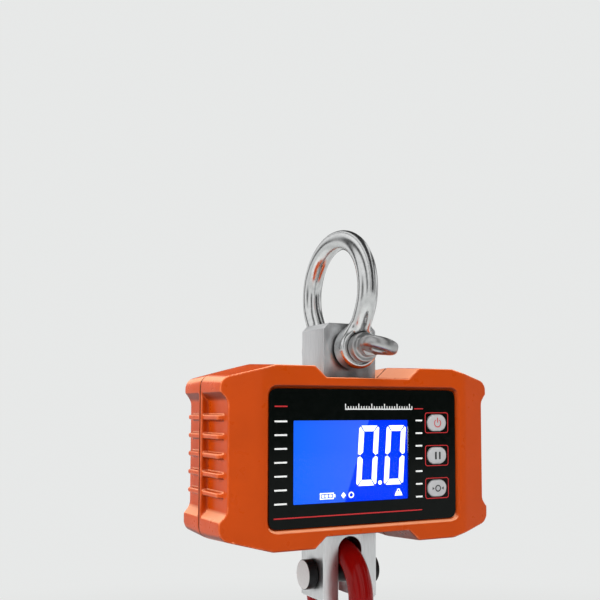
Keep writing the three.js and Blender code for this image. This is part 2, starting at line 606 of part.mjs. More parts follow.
function shellGasket() {
  const { halfWidth, halfDepth } = BLOCK;
  const open = SEAL.wall + 2 * GAP;
  const gap = box(-halfWidth - open, halfWidth + open, -halfDepth, halfDepth, -CASE_REACH, CASE_REACH);
  const ring = cut(gasketRing(0), gap);
  const depth = 2 * GASKET.half;
  const leftHalf = box(-CASE.halfWidth, 0, -depth, depth, -CASE_REACH, CASE_REACH);
  const rightHalf = box(0, CASE.halfWidth, -depth, depth, -CASE_REACH, CASE_REACH);
  return [
    piece('shell_gasket_left', ring.intersect(leftHalf), FINISH.blackRubber),
    piece('shell_gasket_right', ring.intersect(rightHalf), FINISH.blackRubber),
  ];
}

function blockSeals() {
  const { halfWidth, halfDepth } = BLOCK;
  const wallTop = CASE.midZ + CASE.notchHeight * (1 - CASE.draft * halfDepth / CASE.draftDepth) - GAP;
  const heights = { top: [wallTop - SEAL.height, wallTop] };
  heights.bottom = heights.top.map((z) => 2 * CASE.midZ - z).reverse();
  return Object.entries(heights).map(([end, [z0, z1]]) => {
    const outside = box(-halfWidth - SEAL.wall, halfWidth + SEAL.wall, -halfDepth - SEAL.wall,
      halfDepth + SEAL.wall, z0, z1);
    const inside = box(-halfWidth - GAP, halfWidth + GAP, -halfDepth - GAP, halfDepth + GAP, z0 - 1, z1 + 1);
    return piece(`block_seal_${end}`, cut(outside, inside), FINISH.blackRubber);
  });
}

// A pan-head screw along Y: the underside of its head is at headY and its point at tipY, with a square socket.
function screwY(name, { x, z, headY, tipY, shank, head, headHeight, finish = FINISH.zincSteel }) {
  const sign = Math.sign(headY - tipY);
  const top = headY + sign * headHeight;
  const profile = [[0, tipY], [shank, tipY + sign * 0.6], [shank, headY], [head, headY],
    [head, top - sign * headHeight * 0.4], [head * 0.8, top], [0, top]];
  if (sign < 0) profile.reverse();
  const [socketFrom, socketTo] = [top - sign * headHeight * 0.45, top + sign].sort((a, b) => a - b);
  const half = head * 0.4;
  const socket = box(x - half, x + half, socketFrom, socketTo, z - half, z + half);
  return piece(name, cut(turnedY(profile, x, z, 12), socket), finish);
}

function caseScrews() {
  return caseScrewPlaces().map(({ x, z }, i) => screwY(`case_screw_${i + 1}`, {
    x, z, headY: CASE_SCREW.headY, tipY: CASE_SCREW.tipY, shank: 1.7, head: 3.4, headHeight: 2.2,
    finish: FINISH.stainless,
  }));
}

function boardScrews() {
  return boardScrewPlaces().map(({ x, z }, i) => screwY(`board_screw_${i + 1}`, {
    x, z, headY: BOARD.back + GAP, tipY: BOARD.front - 5, shank: 1, head: 2, headHeight: 1.5,
  }));
}

// Bent-sheet brackets hold the case to the block, each by one screw in the block and one in the rear shell.
function blockBrackets() {
  const { z, footX, footZ, footY, sheet, blockHole, bottom, footTop, cheekTop } = BRACKET;
  const outer = BLOCK.halfWidth + GAP;
  const back = BAY.floorY - 1;
  const edge = 4;
  const blockScrew = { tip: 10.5, shank: blockHole - GAP, head: 3, crown: 2.4, thickness: 2, rim: 1.6 };
  const footScrew = { shank: 1.2, head: 2.4, headHeight: 1.6, length: 6 };
  return [-1, 1].flatMap((side) => {
    const name = side < 0 ? 'left' : 'right';
    const xs = (a, b) => [side * a, side * b].sort((p, q) => p - q);
    const cheek = box(...xs(outer, outer + sheet), -5, back, bottom, cheekTop);
    const tab = box(...xs(outer, outer + sheet), back - 1, footY, bottom, footTop);
    const foot = box(...xs(outer, footX + edge), footY - sheet, footY, bottom, footTop);
    const holeX = rodX(blockHole + GAP, ...xs(outer - 1, outer + sheet + 1), 0, z, 16);
    const holeY = rodY(footScrew.shank + GAP, footY - sheet - 1, footY + 1, side * footX, footZ, 16);
    const under = outer + sheet + GAP;
    const { tip, shank, head, crown, thickness, rim } = blockScrew;
    const profile = [[0, tip], [shank, tip], [shank, under], [head, under], [head, under + rim],
      [crown, under + thickness], [0, under + thickness]];
    const turned = side < 0 ? profile.map(([r, x]) => [r, -x]).reverse() : profile;
    return [
      piece(`block_bracket_${name}`, cut(join(cheek, tab, foot), holeX, holeY), FINISH.zincSteel),
      piece(`block_screw_${name}`, turnedX(turned, 0, z, 16), FINISH.zincSteel),
      screwY(`bracket_screw_${name}`, {
        ...footScrew, x: side * footX, z: footZ, headY: footY - sheet - GAP, tipY: footY + footScrew.length,
      }),
    ];
  });
}

// ---------------------------------------------------------------- front panel, display and buttons

function frontPanel() {
  const { halfWidth, top, bottom, corner, face, thickness } = PANEL;
  const outline = easedRectangle(-halfWidth, halfWidth, bottom, top, corner);
  const { left, right, halfHeight } = DISPLAY;
  const opening = easedRectangle(left, right, -halfHeight, halfHeight, 0.6);
  const through = [face - 1, face + thickness + 1];
  const holes = BUTTON.zs.map((z) => (
    solid(slabY(oval(BUTTON.x, z, BUTTON.halfWidth + GAP, BUTTON.halfHeight + GAP), ...through))
  ));
  const window = easedRectangle(left + GAP, right - GAP, -halfHeight + GAP, halfHeight - GAP, 0.6);
  return [
    piece('front_panel', cut(
      solid(slabY(outline, face, face + thickness)),
      solid(slabY(opening, ...through)),
      ...holes,
    ), FINISH.blackGloss),
    piece('display_window', solid(slabY(window, face, face + thickness)), FINISH.clear),
  ];
}

// The display stack behind the window: glass, backlight and the plastic frame that holds both on the board.

function displayStack() {
  const { left, right, halfHeight, glassFront, glassBack, lightBack } = STACK;
  const rim = 1.6;
  const bezelFront = glassFront - 0.1;
  const around = (room, from, to) => (
    box(left - room, right + room, from, to, -halfHeight - room, halfHeight + room)
  );
  const frame = cut(around(rim, bezelFront, BOARD.front - GAP), around(GAP, bezelFront - 1, BOARD.front + 1));
  const backlight = box(left, right, glassBack + GAP, lightBack, -halfHeight, halfHeight);
  return [
    piece('lcd_glass', box(left, right, glassFront, glassBack, -halfHeight, halfHeight), FINISH.clear),
    piece('lcd_backlight', backlight, FINISH.blueGlow),
    piece('lcd_frame', frame, FINISH.blackPlastic),
  ];
}

function buttonsAndSwitches() {
  const { x, zs, names, halfWidth, halfHeight } = BUTTON;
  const rim = 0.9;
  const capFront = PANEL.face - rim;
  const flangeFront = PANEL.face + PANEL.thickness + GAP;
  const travelRoom = 1.1;
  return zs.flatMap((z, i) => {
    const cap = solid(slabY(oval(x, z, halfWidth, halfHeight), capFront, flangeFront + 1));
    const flange = solid(slabY(oval(x, z, halfWidth + rim, halfHeight + rim), flangeFront, flangeFront + 1));
    const stem = rodY(2, flangeFront, SWITCH.plungerTip - travelRoom, x, z, 12);
    const { half, front, plungerTip, plungerRadius } = SWITCH;
    const base = box(x - half, x + half, front, BOARD.front - GAP, z - half, z + half);
    const plunger = rodY(plungerRadius, plungerTip, front + SINK, x, z, 12);
    return [
      piece(`${names[i]}_button`, join(cap, flange, stem), FINISH.greyPlastic),
      piece(`${names[i]}_switch`, join(base, plunger), FINISH.blackPlastic),
    ];
  });
}

// ---------------------------------------------------------------- electronics

// Parts on the back of the board: where each stands and how tall it is above the board.
const PARTS = {
  buzzer: { x: -38, z: 20, radius: 6, height: 8, holeRadius: 1.2, holeDepth: 4 },
  chip: { left: 24, right: 36, bottom: 2, top: 14, height: 1.6 },
  connector: {
    bottom: -24, top: -18, height: 6, batteryLeft: 38, batteryRight: 46, cellLeft: -48, cellRight: -38,
  },
};

function electronics() {
  const { halfWidth, top, bottom, front, back } = BOARD;
  const { buzzer, chip, connector } = PARTS;
  const holes = boardScrewPlaces().map(({ x, z }) => rodY(1 + GAP, front - 1, back + 1, x, z, 12));
  const board = cut(box(-halfWidth, halfWidth, front, back, bottom, top), ...holes);
  const behind = back + GAP;
  const canTop = behind + buzzer.height;
  const can = rodY(buzzer.radius, behind, canTop, buzzer.x, buzzer.z);
  const soundHole = rodY(buzzer.holeRadius, canTop - buzzer.holeDepth, canTop + 1, buzzer.x, buzzer.z, 12);
  const header = (left, right) => (
    box(left, right, behind, behind + connector.height, connector.bottom, connector.top)
  );
  return [
    piece('main_board', board, FINISH.boardGreen),
    piece('buzzer', cut(can, soundHole), FINISH.blackPlastic),
    piece('controller_chip', box(chip.left, chip.right, behind, behind + chip.height, chip.bottom, chip.top),
      FINISH.blackPlastic),
    piece('battery_connector', header(connector.batteryLeft, connector.batteryRight), FINISH.whitePlastic),
    piece('cell_connector', header(connector.cellLeft, connector.cellRight), FINISH.whitePlastic),
  ];
}

// Each cable leaves its connector sideways: one runs to the gauges in the block, one to the battery tray.
function cables() {
  const { connector } = PARTS;
  const y = BOARD.back + GAP + connector.height / 2;
  const z = (connector.bottom + connector.top) / 2;
  const cellEnd = connector.cellRight + GAP;
  const batteryEnd = connector.batteryRight + GAP;
  const trayX = BAY.halfWidth + GAP;
  const trayY = 19.7;
  return [
    piece('cell_cable', tube([
      [cellEnd, y, z], [-33, y, z], [-27, -8, -14], [-22, 0, -4], [-20, 0, 2], [-BLOCK.halfWidth - 1.5, 0, 4],
    ], 1.2, 16), FINISH.blackPlastic),
    piece('battery_cable', tube([
      [batteryEnd, y, z], [51, y, z], [55, -4, -17], [50, 8, -8], [38, trayY, -5], [trayX, trayY, -5],
    ], 1.4, 18), FINISH.blackPlastic),
  ];
}

// ---------------------------------------------------------------- battery bay

function batteryTray() {
  const { halfWidth, halfHeight, midZ, floorY, floor, wall, flange, flangeThickness, lidThickness } = BAY;
  const [z0, z1] = [midZ - halfHeight, midZ + halfHeight];
  const rim = CASE.rear - lidThickness - 2 * GAP;
  const flangeBack = CASE.rear - CASE.rearWall - GAP;
  const tray = join(
    box(-halfWidth, halfWidth, floorY, rim, z0, z1),
    box(-halfWidth - flange, halfWidth + flange, flangeBack - flangeThickness, flangeBack, z0 - flange,
      z1 + flange),
  );
  const hollow = box(-halfWidth + wall, halfWidth - wall, floorY + floor, CASE.rear, z0 + wall, z1 - wall);
  return piece('battery_tray', cut(tray, hollow), FINISH.blackPlastic);
}

const cellAxisY = () => BAY.floorY + BAY.floor + GAP + CELL.radius;

// Three cells side by side, the middle one the other way round.
function batteries() {
  const { radius, halfLength, nub, nubLength, pitch } = CELL;
  const ease = 0.6;
  const profile = [[0, -halfLength], [radius - ease, -halfLength], [radius, -halfLength + ease],
    [radius, halfLength - ease], [radius - ease, halfLength], [nub, halfLength], [nub, halfLength + nubLength],
    [0, halfLength + nubLength]];
  return [1, 0, -1].map((row, i) => {
    const turned = row !== 0 ? profile : profile.map(([r, x]) => [r, -x]).reverse();
    return piece(`battery_${i + 1}`, turnedX(turned, cellAxisY(), BAY.midZ + row * pitch, 14), FINISH.cellWrap);
  });
}

function batteryContacts() {
  const at = BAY.halfWidth - BAY.wall - GAP;
  const plate = { thickness: 0.4, halfDepth: 6, short: 3 };
  const halfHeight = BAY.halfHeight - plate.short;
  return [-1, 1].map((side) => {
    const xs = [side * at, side * (at - plate.thickness)].sort((a, b) => a - b);
    const body = box(...xs, cellAxisY() - plate.halfDepth, cellAxisY() + plate.halfDepth, BAY.midZ - halfHeight,
      BAY.midZ + halfHeight);
    return piece(`battery_contact_${side < 0 ? 'left' : 'right'}`, body, FINISH.zincSteel);
  });
}

function batteryCover() {
  const { lidHalfWidth, lidHalfHeight, lidThickness, midZ, screwX } = BAY;
  const seat = CASE.rear - lidThickness;
  const outline = easedRectangle(-lidHalfWidth, lidHalfWidth, midZ - lidHalfHeight, midZ + lidHalfHeight, 3);
  const screw = { tipY: 24, shank: 1.2, head: 2.8, headHeight: 1.4 };
  const holes = [-1, 1].map((side) => (
    rodY(screw.shank + GAP, seat - 1, CASE.rear + 1, side * screwX, midZ, 12)
  ));
  return [
    piece('battery_cover', cut(solid(slabY(outline, seat, CASE.rear)), ...holes), FINISH.orangePaint),
    ...[-1, 1].map((side) => screwY(`cover_screw_${side < 0 ? 'left' : 'right'}`, {
      ...screw, x: side * screwX, z: midZ, headY: CASE.rear + GAP, finish: FINISH.stainless,
    })),
  ];
}

// ---------------------------------------------------------------- assembly

const scale = new THREE.Group();
scale.position.z = -BOW_INSIDE_TOP;
scale.add(
  shackleBow(), shacklePin(), loadCellBlock(), ...strainGauges(), ...hookPin(), hook(), ...latchPieces(),
  frontShell(), rearShell(), ...shellGasket(), ...blockSeals(), ...caseScrews(), ...blockBrackets(),
  ...frontPanel(), ...displayStack(), ...buttonsAndSwitches(), ...electronics(), ...boardScrews(), ...cables(),
  batteryTray(), ...batteries(), ...batteryContacts(), ...batteryCover(),
);
const group = new THREE.Group();
group.add(scale);
export default group;
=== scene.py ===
import math

import bmesh
import bpy
from mathutils import Matrix, Vector
from mathutils.kdtree import KDTree


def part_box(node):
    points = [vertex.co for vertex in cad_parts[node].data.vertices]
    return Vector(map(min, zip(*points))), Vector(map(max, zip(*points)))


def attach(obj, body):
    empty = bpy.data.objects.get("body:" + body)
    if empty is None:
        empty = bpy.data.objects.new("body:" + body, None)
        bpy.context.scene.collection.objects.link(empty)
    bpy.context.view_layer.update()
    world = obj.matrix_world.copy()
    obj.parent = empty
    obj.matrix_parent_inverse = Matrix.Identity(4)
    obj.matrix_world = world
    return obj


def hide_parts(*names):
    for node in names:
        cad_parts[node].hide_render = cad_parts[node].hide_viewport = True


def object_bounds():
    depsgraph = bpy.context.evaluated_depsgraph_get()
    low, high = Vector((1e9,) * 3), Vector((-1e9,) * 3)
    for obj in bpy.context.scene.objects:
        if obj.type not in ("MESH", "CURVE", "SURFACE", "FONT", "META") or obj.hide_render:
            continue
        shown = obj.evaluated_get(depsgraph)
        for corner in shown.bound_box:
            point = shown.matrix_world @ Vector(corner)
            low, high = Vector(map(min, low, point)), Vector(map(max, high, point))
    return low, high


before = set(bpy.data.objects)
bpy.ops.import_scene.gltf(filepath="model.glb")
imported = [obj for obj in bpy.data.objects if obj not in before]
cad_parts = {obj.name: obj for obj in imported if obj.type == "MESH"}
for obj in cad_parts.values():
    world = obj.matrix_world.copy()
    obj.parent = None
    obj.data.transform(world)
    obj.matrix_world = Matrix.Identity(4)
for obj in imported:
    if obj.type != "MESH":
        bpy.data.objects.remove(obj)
CAD_LOW, CAD_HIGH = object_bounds()

# Everything below is drawn in millimetres from the centre of the display, then moved into the frame.
MM = 0.001
window_low, window_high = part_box("display_window")
CENTRE = Vector((0, 0, (window_low.z + window_high.z) / 2))
TO_FRAME = Matrix.Translation(CENTRE) @ Matrix.Scale(MM, 4)
CLEARANCE = 0.3


def node_box(name):
    """A CAD node's lowest and highest corners in this script's millimetres."""
    low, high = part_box(name)
    return (low - CENTRE) / MM, (high - CENTRE) / MM


def node_middle(name):
    low, high = node_box(name)
    return (low + high) / 2


def in_scene(name, data):
    made = bpy.data.objects.new(name, data)
    bpy.context.scene.collection.objects.link(made)
    return made


class Nodes:
    """The nodes of a material or a world."""

    def __init__(self, owner):
        owner.use_nodes = True
        self.nodes = owner.node_tree.nodes
        self.links = owner.node_tree.links

    def feed(self, socket, value):
        """Links a socket to another node's output, or sets it to a number, a vector or a colour."""
        if isinstance(value, bpy.types.NodeSocket):
            self.links.new(value, socket)
        elif isinstance(value, tuple) and len(value) < len(socket.default_value):
            socket.default_value = (*value, 1)
        else:
            socket.default_value = value

    def add(self, kind, *values, **named):
        """A new node, its first inputs fed in order and others by name."""
        node = self.nodes.new(f"ShaderNode{kind}")
        for place, value in enumerate(values):
            self.feed(node.inputs[place], value)
        for name, value in named.items():
            self.feed(node.inputs[name.replace("_", " ")], value)
        return node


# ---------------------------------------------------------------- camera, stage and light

ROOM_TONE = (0.80, 0.81, 0.805)
FLOOR_TONE = (0.80, 0.81, 0.80)
# The place is in millimetres, the lens too, and the angles are in degrees.
CAMERA = {"place": (-220.2, -398.0, 24.1), "turn": 28.80, "tilt": 4.30, "lens": 52.48,
          "shift": (-0.06, 0.075)}
# How bright the studio is as shiny surfaces see it. Its cards are rings round the X axis, so that
# they show as stripes along the bow. The first number is how far a direction points to the right,
# from -1 to 1.
STUDIO = [(-1.0, 0.12), (-0.985, 0.15), (-0.95, 1.0), (-0.74, 1.0), (-0.64, 0.05), (-0.50, 0.04),
          (-0.44, 0.9), (-0.12, 1.0), (-0.05, 0.25), (0.0, 0.2), (0.04, 0.85), (0.19, 0.9),
          (0.24, 0.03), (0.64, 0.03), (0.69, 0.95), (0.75, 0.9), (0.79, 0.06), (0.88, 0.05),
          (0.92, 0.9), (0.975, 0.95), (1.0, 0.15)]
# The same from straight down to straight up.
HEIGHT = [(-1.0, 0.2), (-0.5, 0.35), (-0.15, 0.9), (0.6, 1.0), (1.0, 1.2)]
MATT_LIGHT = 0.32


def make_camera():
    data = bpy.data.cameras.new("camera")
    data.lens = CAMERA["lens"]
    data.sensor_width = 36
    data.shift_x, data.shift_y = CAMERA["shift"]
    data.clip_start, data.clip_end = 0.01, 50
    camera = in_scene("camera", data)
    camera.location = TO_FRAME @ Vector(CAMERA["place"])
    camera.rotation_euler = (math.radians(90 + CAMERA["tilt"]), 0, math.radians(-CAMERA["turn"]))
    bpy.context.scene.camera = camera


def make_floor():
    """A plain pale disc under the hanging scale, well clear of the hook. It fades into the room far away."""
    drop, radius, sides = 0.30, 9, 96
    fade_from, fade_to = 0.3, 2.2
    mesh = bpy.data.meshes.new("floor")
    turns = [2 * math.pi * i / sides for i in range(sides)]
    mesh.from_pydata([(radius * math.cos(a), radius * math.sin(a), 0) for a in turns], [], [range(sides)])
    floor = in_scene("floor", mesh)
    floor.location.z = CAD_LOW.z - drop
    mesh.materials.append(bpy.data.materials.new("floor"))
    tree = Nodes(mesh.materials[0])
    shader = tree.nodes["Principled BSDF"]
    tree.feed(shader.inputs["Base Color"], FLOOR_TONE)
    tree.feed(shader.inputs["Roughness"], 0.9)
    far = tree.add("VectorMath", tree.add("TexCoord").outputs["Object"])
    far.operation = "LENGTH"
    fade = tree.add("MapRange", far.outputs["Value"], fade_from, fade_to)
    fade.interpolation_type = "SMOOTHSTEP"
    glow = tree.add("Emission", ROOM_TONE)
    mix = tree.add("MixShader", fade.outputs[0], shader.outputs[0], glow.outputs[0])
    tree.feed(tree.nodes["Material Output"].inputs["Surface"], mix.outputs[0])


def area_light(name, place, size, power):
    """A soft panel lamp aimed at the middle of the case. Its place is in metres from there."""
    data = bpy.data.lights.new(name, "AREA")
    data.shape = "RECTANGLE"
    data.size, data.size_y = size
    data.energy = power
    lamp = in_scene(name, data)
    lamp.visible_glossy = False
    lamp.location = CENTRE + Vector(place)
    lamp.rotation_euler = (-Vector(place)).to_track_quat("-Z", "Y").to_euler()


def tone_along(tree, value, stops):
    """A grey tone looked up from a value between -1 and 1. Stops are (place, tone)."""
    ramp = tree.add("ValToRGB", tree.add("MapRange", value, -1).outputs[0])
    while len(ramp.color_ramp.elements) < len(stops):
        ramp.color_ramp.elements.new(0.5)
    for element, (place, tone) in zip(ramp.color_ramp.elements, stops):
        element.position = (place + 1) / 2
        element.color = (tone, tone, tone, 1)
    return ramp.outputs[0]


def make_world():
    """A pale room. It lights matt surfaces dimly, and shiny ones see a studio of light and dark cards."""
    bpy.context.scene.view_settings.view_transform = "Standard"
    world = bpy.context.scene.world = bpy.data.worlds.new("studio")
    tree = Nodes(world)
    room = tree.nodes["Background"]
    tree.feed(room.inputs["Color"], ROOM_TONE)
    dim = tree.add("Background", ROOM_TONE, MATT_LIGHT)
    direction = tree.add("SeparateXYZ", tree.add("TexCoord").outputs["Generated"])
    tone = tree.add("VectorMath", tone_along(tree, direction.outputs["X"], STUDIO),
                    tone_along(tree, direction.outputs["Z"], HEIGHT))
    tone.operation = "MULTIPLY"
    shiny = tree.add("Background", tone.outputs[0])
    path = tree.add("LightPath")
    lit = tree.add("MixShader", path.outputs["Is Diffuse Ray"], room.outputs[0], dim.outputs[0])
    seen = tree.add("MixShader", path.outputs["Is Glossy Ray"], lit.outputs[0], shiny.outputs[0])
    tree.feed(tree.nodes["World Output"].inputs["Surface"], seen.outputs[0])


# ---------------------------------------------------------------- materials

class Finish(Nodes):
    """One procedural material: a Principled shader with noises in the piece's own coordinates."""

    def __init__(self, name, **sockets):
        self.material = bpy.data.materials.new(name)
        super().__init__(self.material)
        self.shader = self.nodes["Principled BSDF"]
        self.place = self.add("TexCoord").outputs["Object"]
        for socket, value in sockets.items():
            self.put(socket.replace("_", " "), value)

    def put(self, socket, value):
        self.feed(self.shader.inputs[socket], value)

    def noise(self, size, detail=3, stretch=None):
        """Cloudy noise whose blotches are about that many millimetres across."""
        place = self.add("Mapping", self.place, Scale=stretch).outputs[0] if stretch else self.place
        return self.add("TexNoise", Vector=place, Scale=1 / (size * MM), Detail=detail).outputs["Fac"]

    def span(self, value, low, high, start=0.0, end=1.0):
        """Low where the value is at its start, high at its end, and even in between."""
        return self.add("MapRange", value, start, end, low, high).outputs[0]

    def blend(self, factor, colour_a, colour_b):
        node = self.add("Mix")
        node.data_type = "RGBA"
        for socket, value in (("Factor", factor), ("A", colour_a), ("B", colour_b)):
            self.feed(node.inputs[socket], value)
        return node.outputs["Result"]

    def cloudy(self, factor, colour, share):
        """The colour where the factor is 1, and that share of it where the factor is 0."""
        return self.blend(factor, tuple(share * part for part in colour), colour)

    def maths(self, operation, a, b=0.0):
        node = self.add("Math", a, b)
        node.operation = operation
        return node.outputs[0]

    def axis(self, name):
        """One coordinate of the surface point, in metres in the frame."""
        return self.add("SeparateXYZ", self.place).outputs[name]

    def facing(self, axis):
        """How much the surface faces along one axis of its piece, from -1 to 1."""
        normal = self.add("VectorTransform", self.add("NewGeometry").outputs["True Normal"])
        normal.vector_type = "NORMAL"
        normal.convert_from, normal.convert_to = "WORLD", "OBJECT"
        return self.add("SeparateXYZ", normal.outputs[0]).outputs[axis]

    def edges(self):
        """1 along outward edges and 0 elsewhere."""
        flat, sharp = 0.515, 0.56
        return self.span(self.add("NewGeometry").outputs["Pointiness"], 0, 1, flat, sharp)

    def bump(self, *layers):
        """Each layer is a height, how deep it is in millimetres, and its strength."""
        normal = None
        for height, depth, strength in layers:
            node = self.add("Bump", Height=height, Distance=depth * MM, Strength=strength)
            if normal:
                self.feed(node.inputs["Normal"], normal)
            normal = node.outputs[0]
        self.put("Normal", normal)


def paint(name, colour, edge_wear_and_highlight, roughness, peel, coat, shine, seam=False):
    """Sprayed enamel: cloudy colour, orange peel, and paler edges, partly worn thin and partly a painted
    highlight.
    """
    finish = Finish(name, Coat_Weight=coat, Coat_Roughness=0.08, Specular_IOR_Level=shine)
    body = finish.cloudy(finish.span(finish.noise(22, 4), 0, 1, 0.3, 0.7), colour, 0.9)
    chips = finish.span(finish.noise(3.5, 5), 0.25, 1, 0.35, 0.6)
    # Edges take a paler colour where the chips fall: partly wear, and partly a painted highlight along the
    # edges.
    coloured = finish.blend(finish.maths("MULTIPLY", finish.edges(), chips), body, edge_wear_and_highlight)
    if seam:
        # Lips that slant up get a painted highlight, and lips that slant down get a painted shade.
        leaning = finish.facing("Z")
        slanted = finish.span(finish.maths("ABSOLUTE", leaning), 1, 0, 0.8, 0.93)
        lip = finish.maths("MULTIPLY", finish.span(leaning, 0, 1, 0.3, 0.55), slanted)
        coloured = finish.blend(lip, coloured, (0.80, 0.30, 0.15))
        under = finish.maths("MULTIPLY", finish.span(leaning, 1, 0, -0.6, -0.35), slanted)
        coloured = finish.blend(under, coloured, (0.16, 0.016, 0.001))
        # A painted shadow darkens a narrow band along the gap where the two shells meet, in the plane Y = 0.
        off_seam = finish.maths("ABSOLUTE", finish.axis("Y"))
        line = finish.span(off_seam, 1, 0, 0.45 * MM, 0.9 * MM)
        coloured = finish.blend(line, coloured, (0.02, 0.006, 0.003))
    finish.put("Base Color", coloured)
    finish.put("Roughness", finish.span(finish.noise(6, 5), roughness - 0.05, roughness + 0.07, 0.3, 0.7))
    finish.bump((finish.noise(1.3, 2), peel, 0.5), (finish.noise(0.35, 2), peel / 5, 0.35))
    return finish.material


def metal(name, colour, roughness, spread, grain, stretch=None, bump=0.01, painted_shade_reach=0):
    """Bare metal: grain that changes roughness and tone, and painted shade close to other pieces."""
    finish = Finish(name, Metallic=1.0)
    fine = finish.noise(grain, 4, stretch)
    coloured = finish.cloudy(finish.span(fine, 0, 1, 0.3, 0.7), colour, 0.86)
    if painted_shade_reach:
        # Painted shade: the metal is darkened where ambient occlusion finds other pieces close by.
        near = finish.add("AmbientOcclusion", Distance=painted_shade_reach * MM)
        painted_shade = finish.span(near.outputs["AO"], 0.9, 0, 0.25, 0.8)
        coloured = finish.blend(painted_shade, coloured, tuple(0.22 * part for part in colour))
    finish.put("Base Color", coloured)
    blotch = finish.span(finish.noise(12, 4), 0, spread, 0.3, 0.7)
    streak = finish.span(fine, roughness, roughness + spread, 0.3, 0.7)
    finish.put("Roughness", finish.maths("ADD", blotch, streak))
    finish.bump((fine, bump, 0.4))
    return finish.material


def plastic(name, colour, roughness, grain=0.4, depth=0.02, **sockets):
    """Moulded plastic or rubber with a fine spark texture."""
    finish = Finish(name, **sockets)
    finish.put("Base Color", finish.cloudy(finish.span(finish.noise(9, 4), 0, 1, 0.3, 0.7), colour, 0.85))
    finish.put("Roughness", finish.span(finish.noise(2.5, 4), roughness - 0.05, roughness + 0.08, 0.3, 0.7))
    finish.bump((finish.noise(grain, 2), depth, 0.5))
    return finish.material


def clear_window(name, gloss):
    """Clear sheet: mostly see-through, with a reflection that grows towards the rim of the view."""
    finish = Finish(name, Base_Color=(0.9, 0.95, 1), Specular_IOR_Level=0.5)
    cloud = finish.span(finish.noise(8, 3), 0.03, 0.09)
    finish.put("Roughness", cloud)
    finish.bump((finish.noise(14, 2), 0.01, 0.15))
    fresnel = finish.add("Fresnel", IOR=1.3)
    mix = finish.add("MixShader", finish.maths("MULTIPLY", fresnel.outputs[0], gloss),
                     finish.add("BsdfTransparent").outputs[0],
                     finish.add("BsdfGlossy", Roughness=cloud).outputs[0])
    finish.feed(finish.nodes["Material Output"].inputs["Surface"], mix.outputs[0])
    return finish.material


def backlight(name):
    """The lit light guide. Its left part, up to a slanted edge, is a little paler: a painted reflection on
    the glass.
    """
    finish = Finish(name, Base_Color=(0.0, 0.02, 0.2), Roughness=0.4, Specular_IOR_Level=0.03,
                    Emission_Strength=1.0)
    # The paler left part, up to the slanted edge, is a painted reflection.
    lean, sheen_edge, soft = 0.348, -3.1, 0.2
    slanted = finish.maths("SUBTRACT", finish.axis("X"), finish.maths("MULTIPLY", finish.axis("Z"), lean))
    start = sheen_edge * MM - lean * CENTRE.z
    painted_sheen = finish.span(slanted, 1, 0, start - soft * MM, start + soft * MM)
    along = finish.span(finish.axis("X"), 0, 1, -41 * MM, -3 * MM)
    sheen_colour = finish.blend(along, (0.006, 0.13, 1.0), (0.04, 0.13, 1.0))
    haze = finish.span(finish.noise(18, 3), 0.0, 0.25)
    bare = finish.blend(haze, (0.0, 0.03, 0.95), (0.0, 0.05, 1.0))
    finish.put("Emission Color", finish.blend(painted_sheen, bare, sheen_colour))
    finish.bump((finish.noise(1.2, 2), 0.01, 0.2))
    return finish.material


def glowing(name, colour, strength):
    """Ink or a display segment that glows: a segment with the backlight behind it, and printed ink with a
    faint painted glow.
    """
    finish = Finish(name, Roughness=0.5, Emission_Strength=strength)
    finish.put("Base Color", finish.cloudy(finish.noise(1.5, 3), colour, 0.9))
    finish.put("Emission Color", finish.cloudy(finish.noise(2.5, 3), colour, 0.95))
    finish.bump((finish.noise(0.3, 2), 0.005, 0.3))
    return finish.material


def blackened(name):
    """Blackened steel whose end faces are ground bare."""
    finish = Finish(name, Specular_IOR_Level=0.25)
    facing = finish.span(finish.maths("ABSOLUTE", finish.facing("X")), 0, 1, 0.9, 0.97)
    far = finish.span(finish.maths("ABSOLUTE", finish.axis("X")), 0, 1, 19.8 * MM, 19.9 * MM)
    end = finish.maths("MULTIPLY", facing, far)
    black = finish.blend(finish.noise(0.5, 5), (0.008, 0.008, 0.009), (0.02, 0.02, 0.021))
    bare = finish.blend(finish.noise(0.8, 5), (0.5, 0.5, 0.5), (0.62, 0.62, 0.62))
    finish.put("Base Color", finish.blend(end, black, bare))
    finish.put("Metallic", finish.span(end, 0.6, 0.35))
    finish.put("Roughness", finish.span(end, 0.3, 0.55))
    finish.bump((finish.noise(0.6, 4), 0.02, 0.4))
    return finish.material


def board(name):
    """Green solder mask with copper tracks showing through."""
    finish = Finish(name)
    turned = finish.add("Mapping", finish.place, Rotation=(math.pi / 2, 0, 0))
    cells = finish.add("TexBrick", turned.outputs[0], Scale=1 / (9 * MM), Mortar_Size=0.02)
    mask = finish.blend(finish.noise(12, 3), (0.006, 0.09, 0.03), (0.01, 0.12, 0.045))
    finish.put("Base Color", finish.blend(cells.outputs["Fac"], mask, (0.03, 0.24, 0.09)))
    finish.put("Roughness", finish.span(finish.noise(3, 3), 0.3, 0.45))
    finish.bump((cells.outputs["Fac"], 0.04, 0.6))
    return finish.material


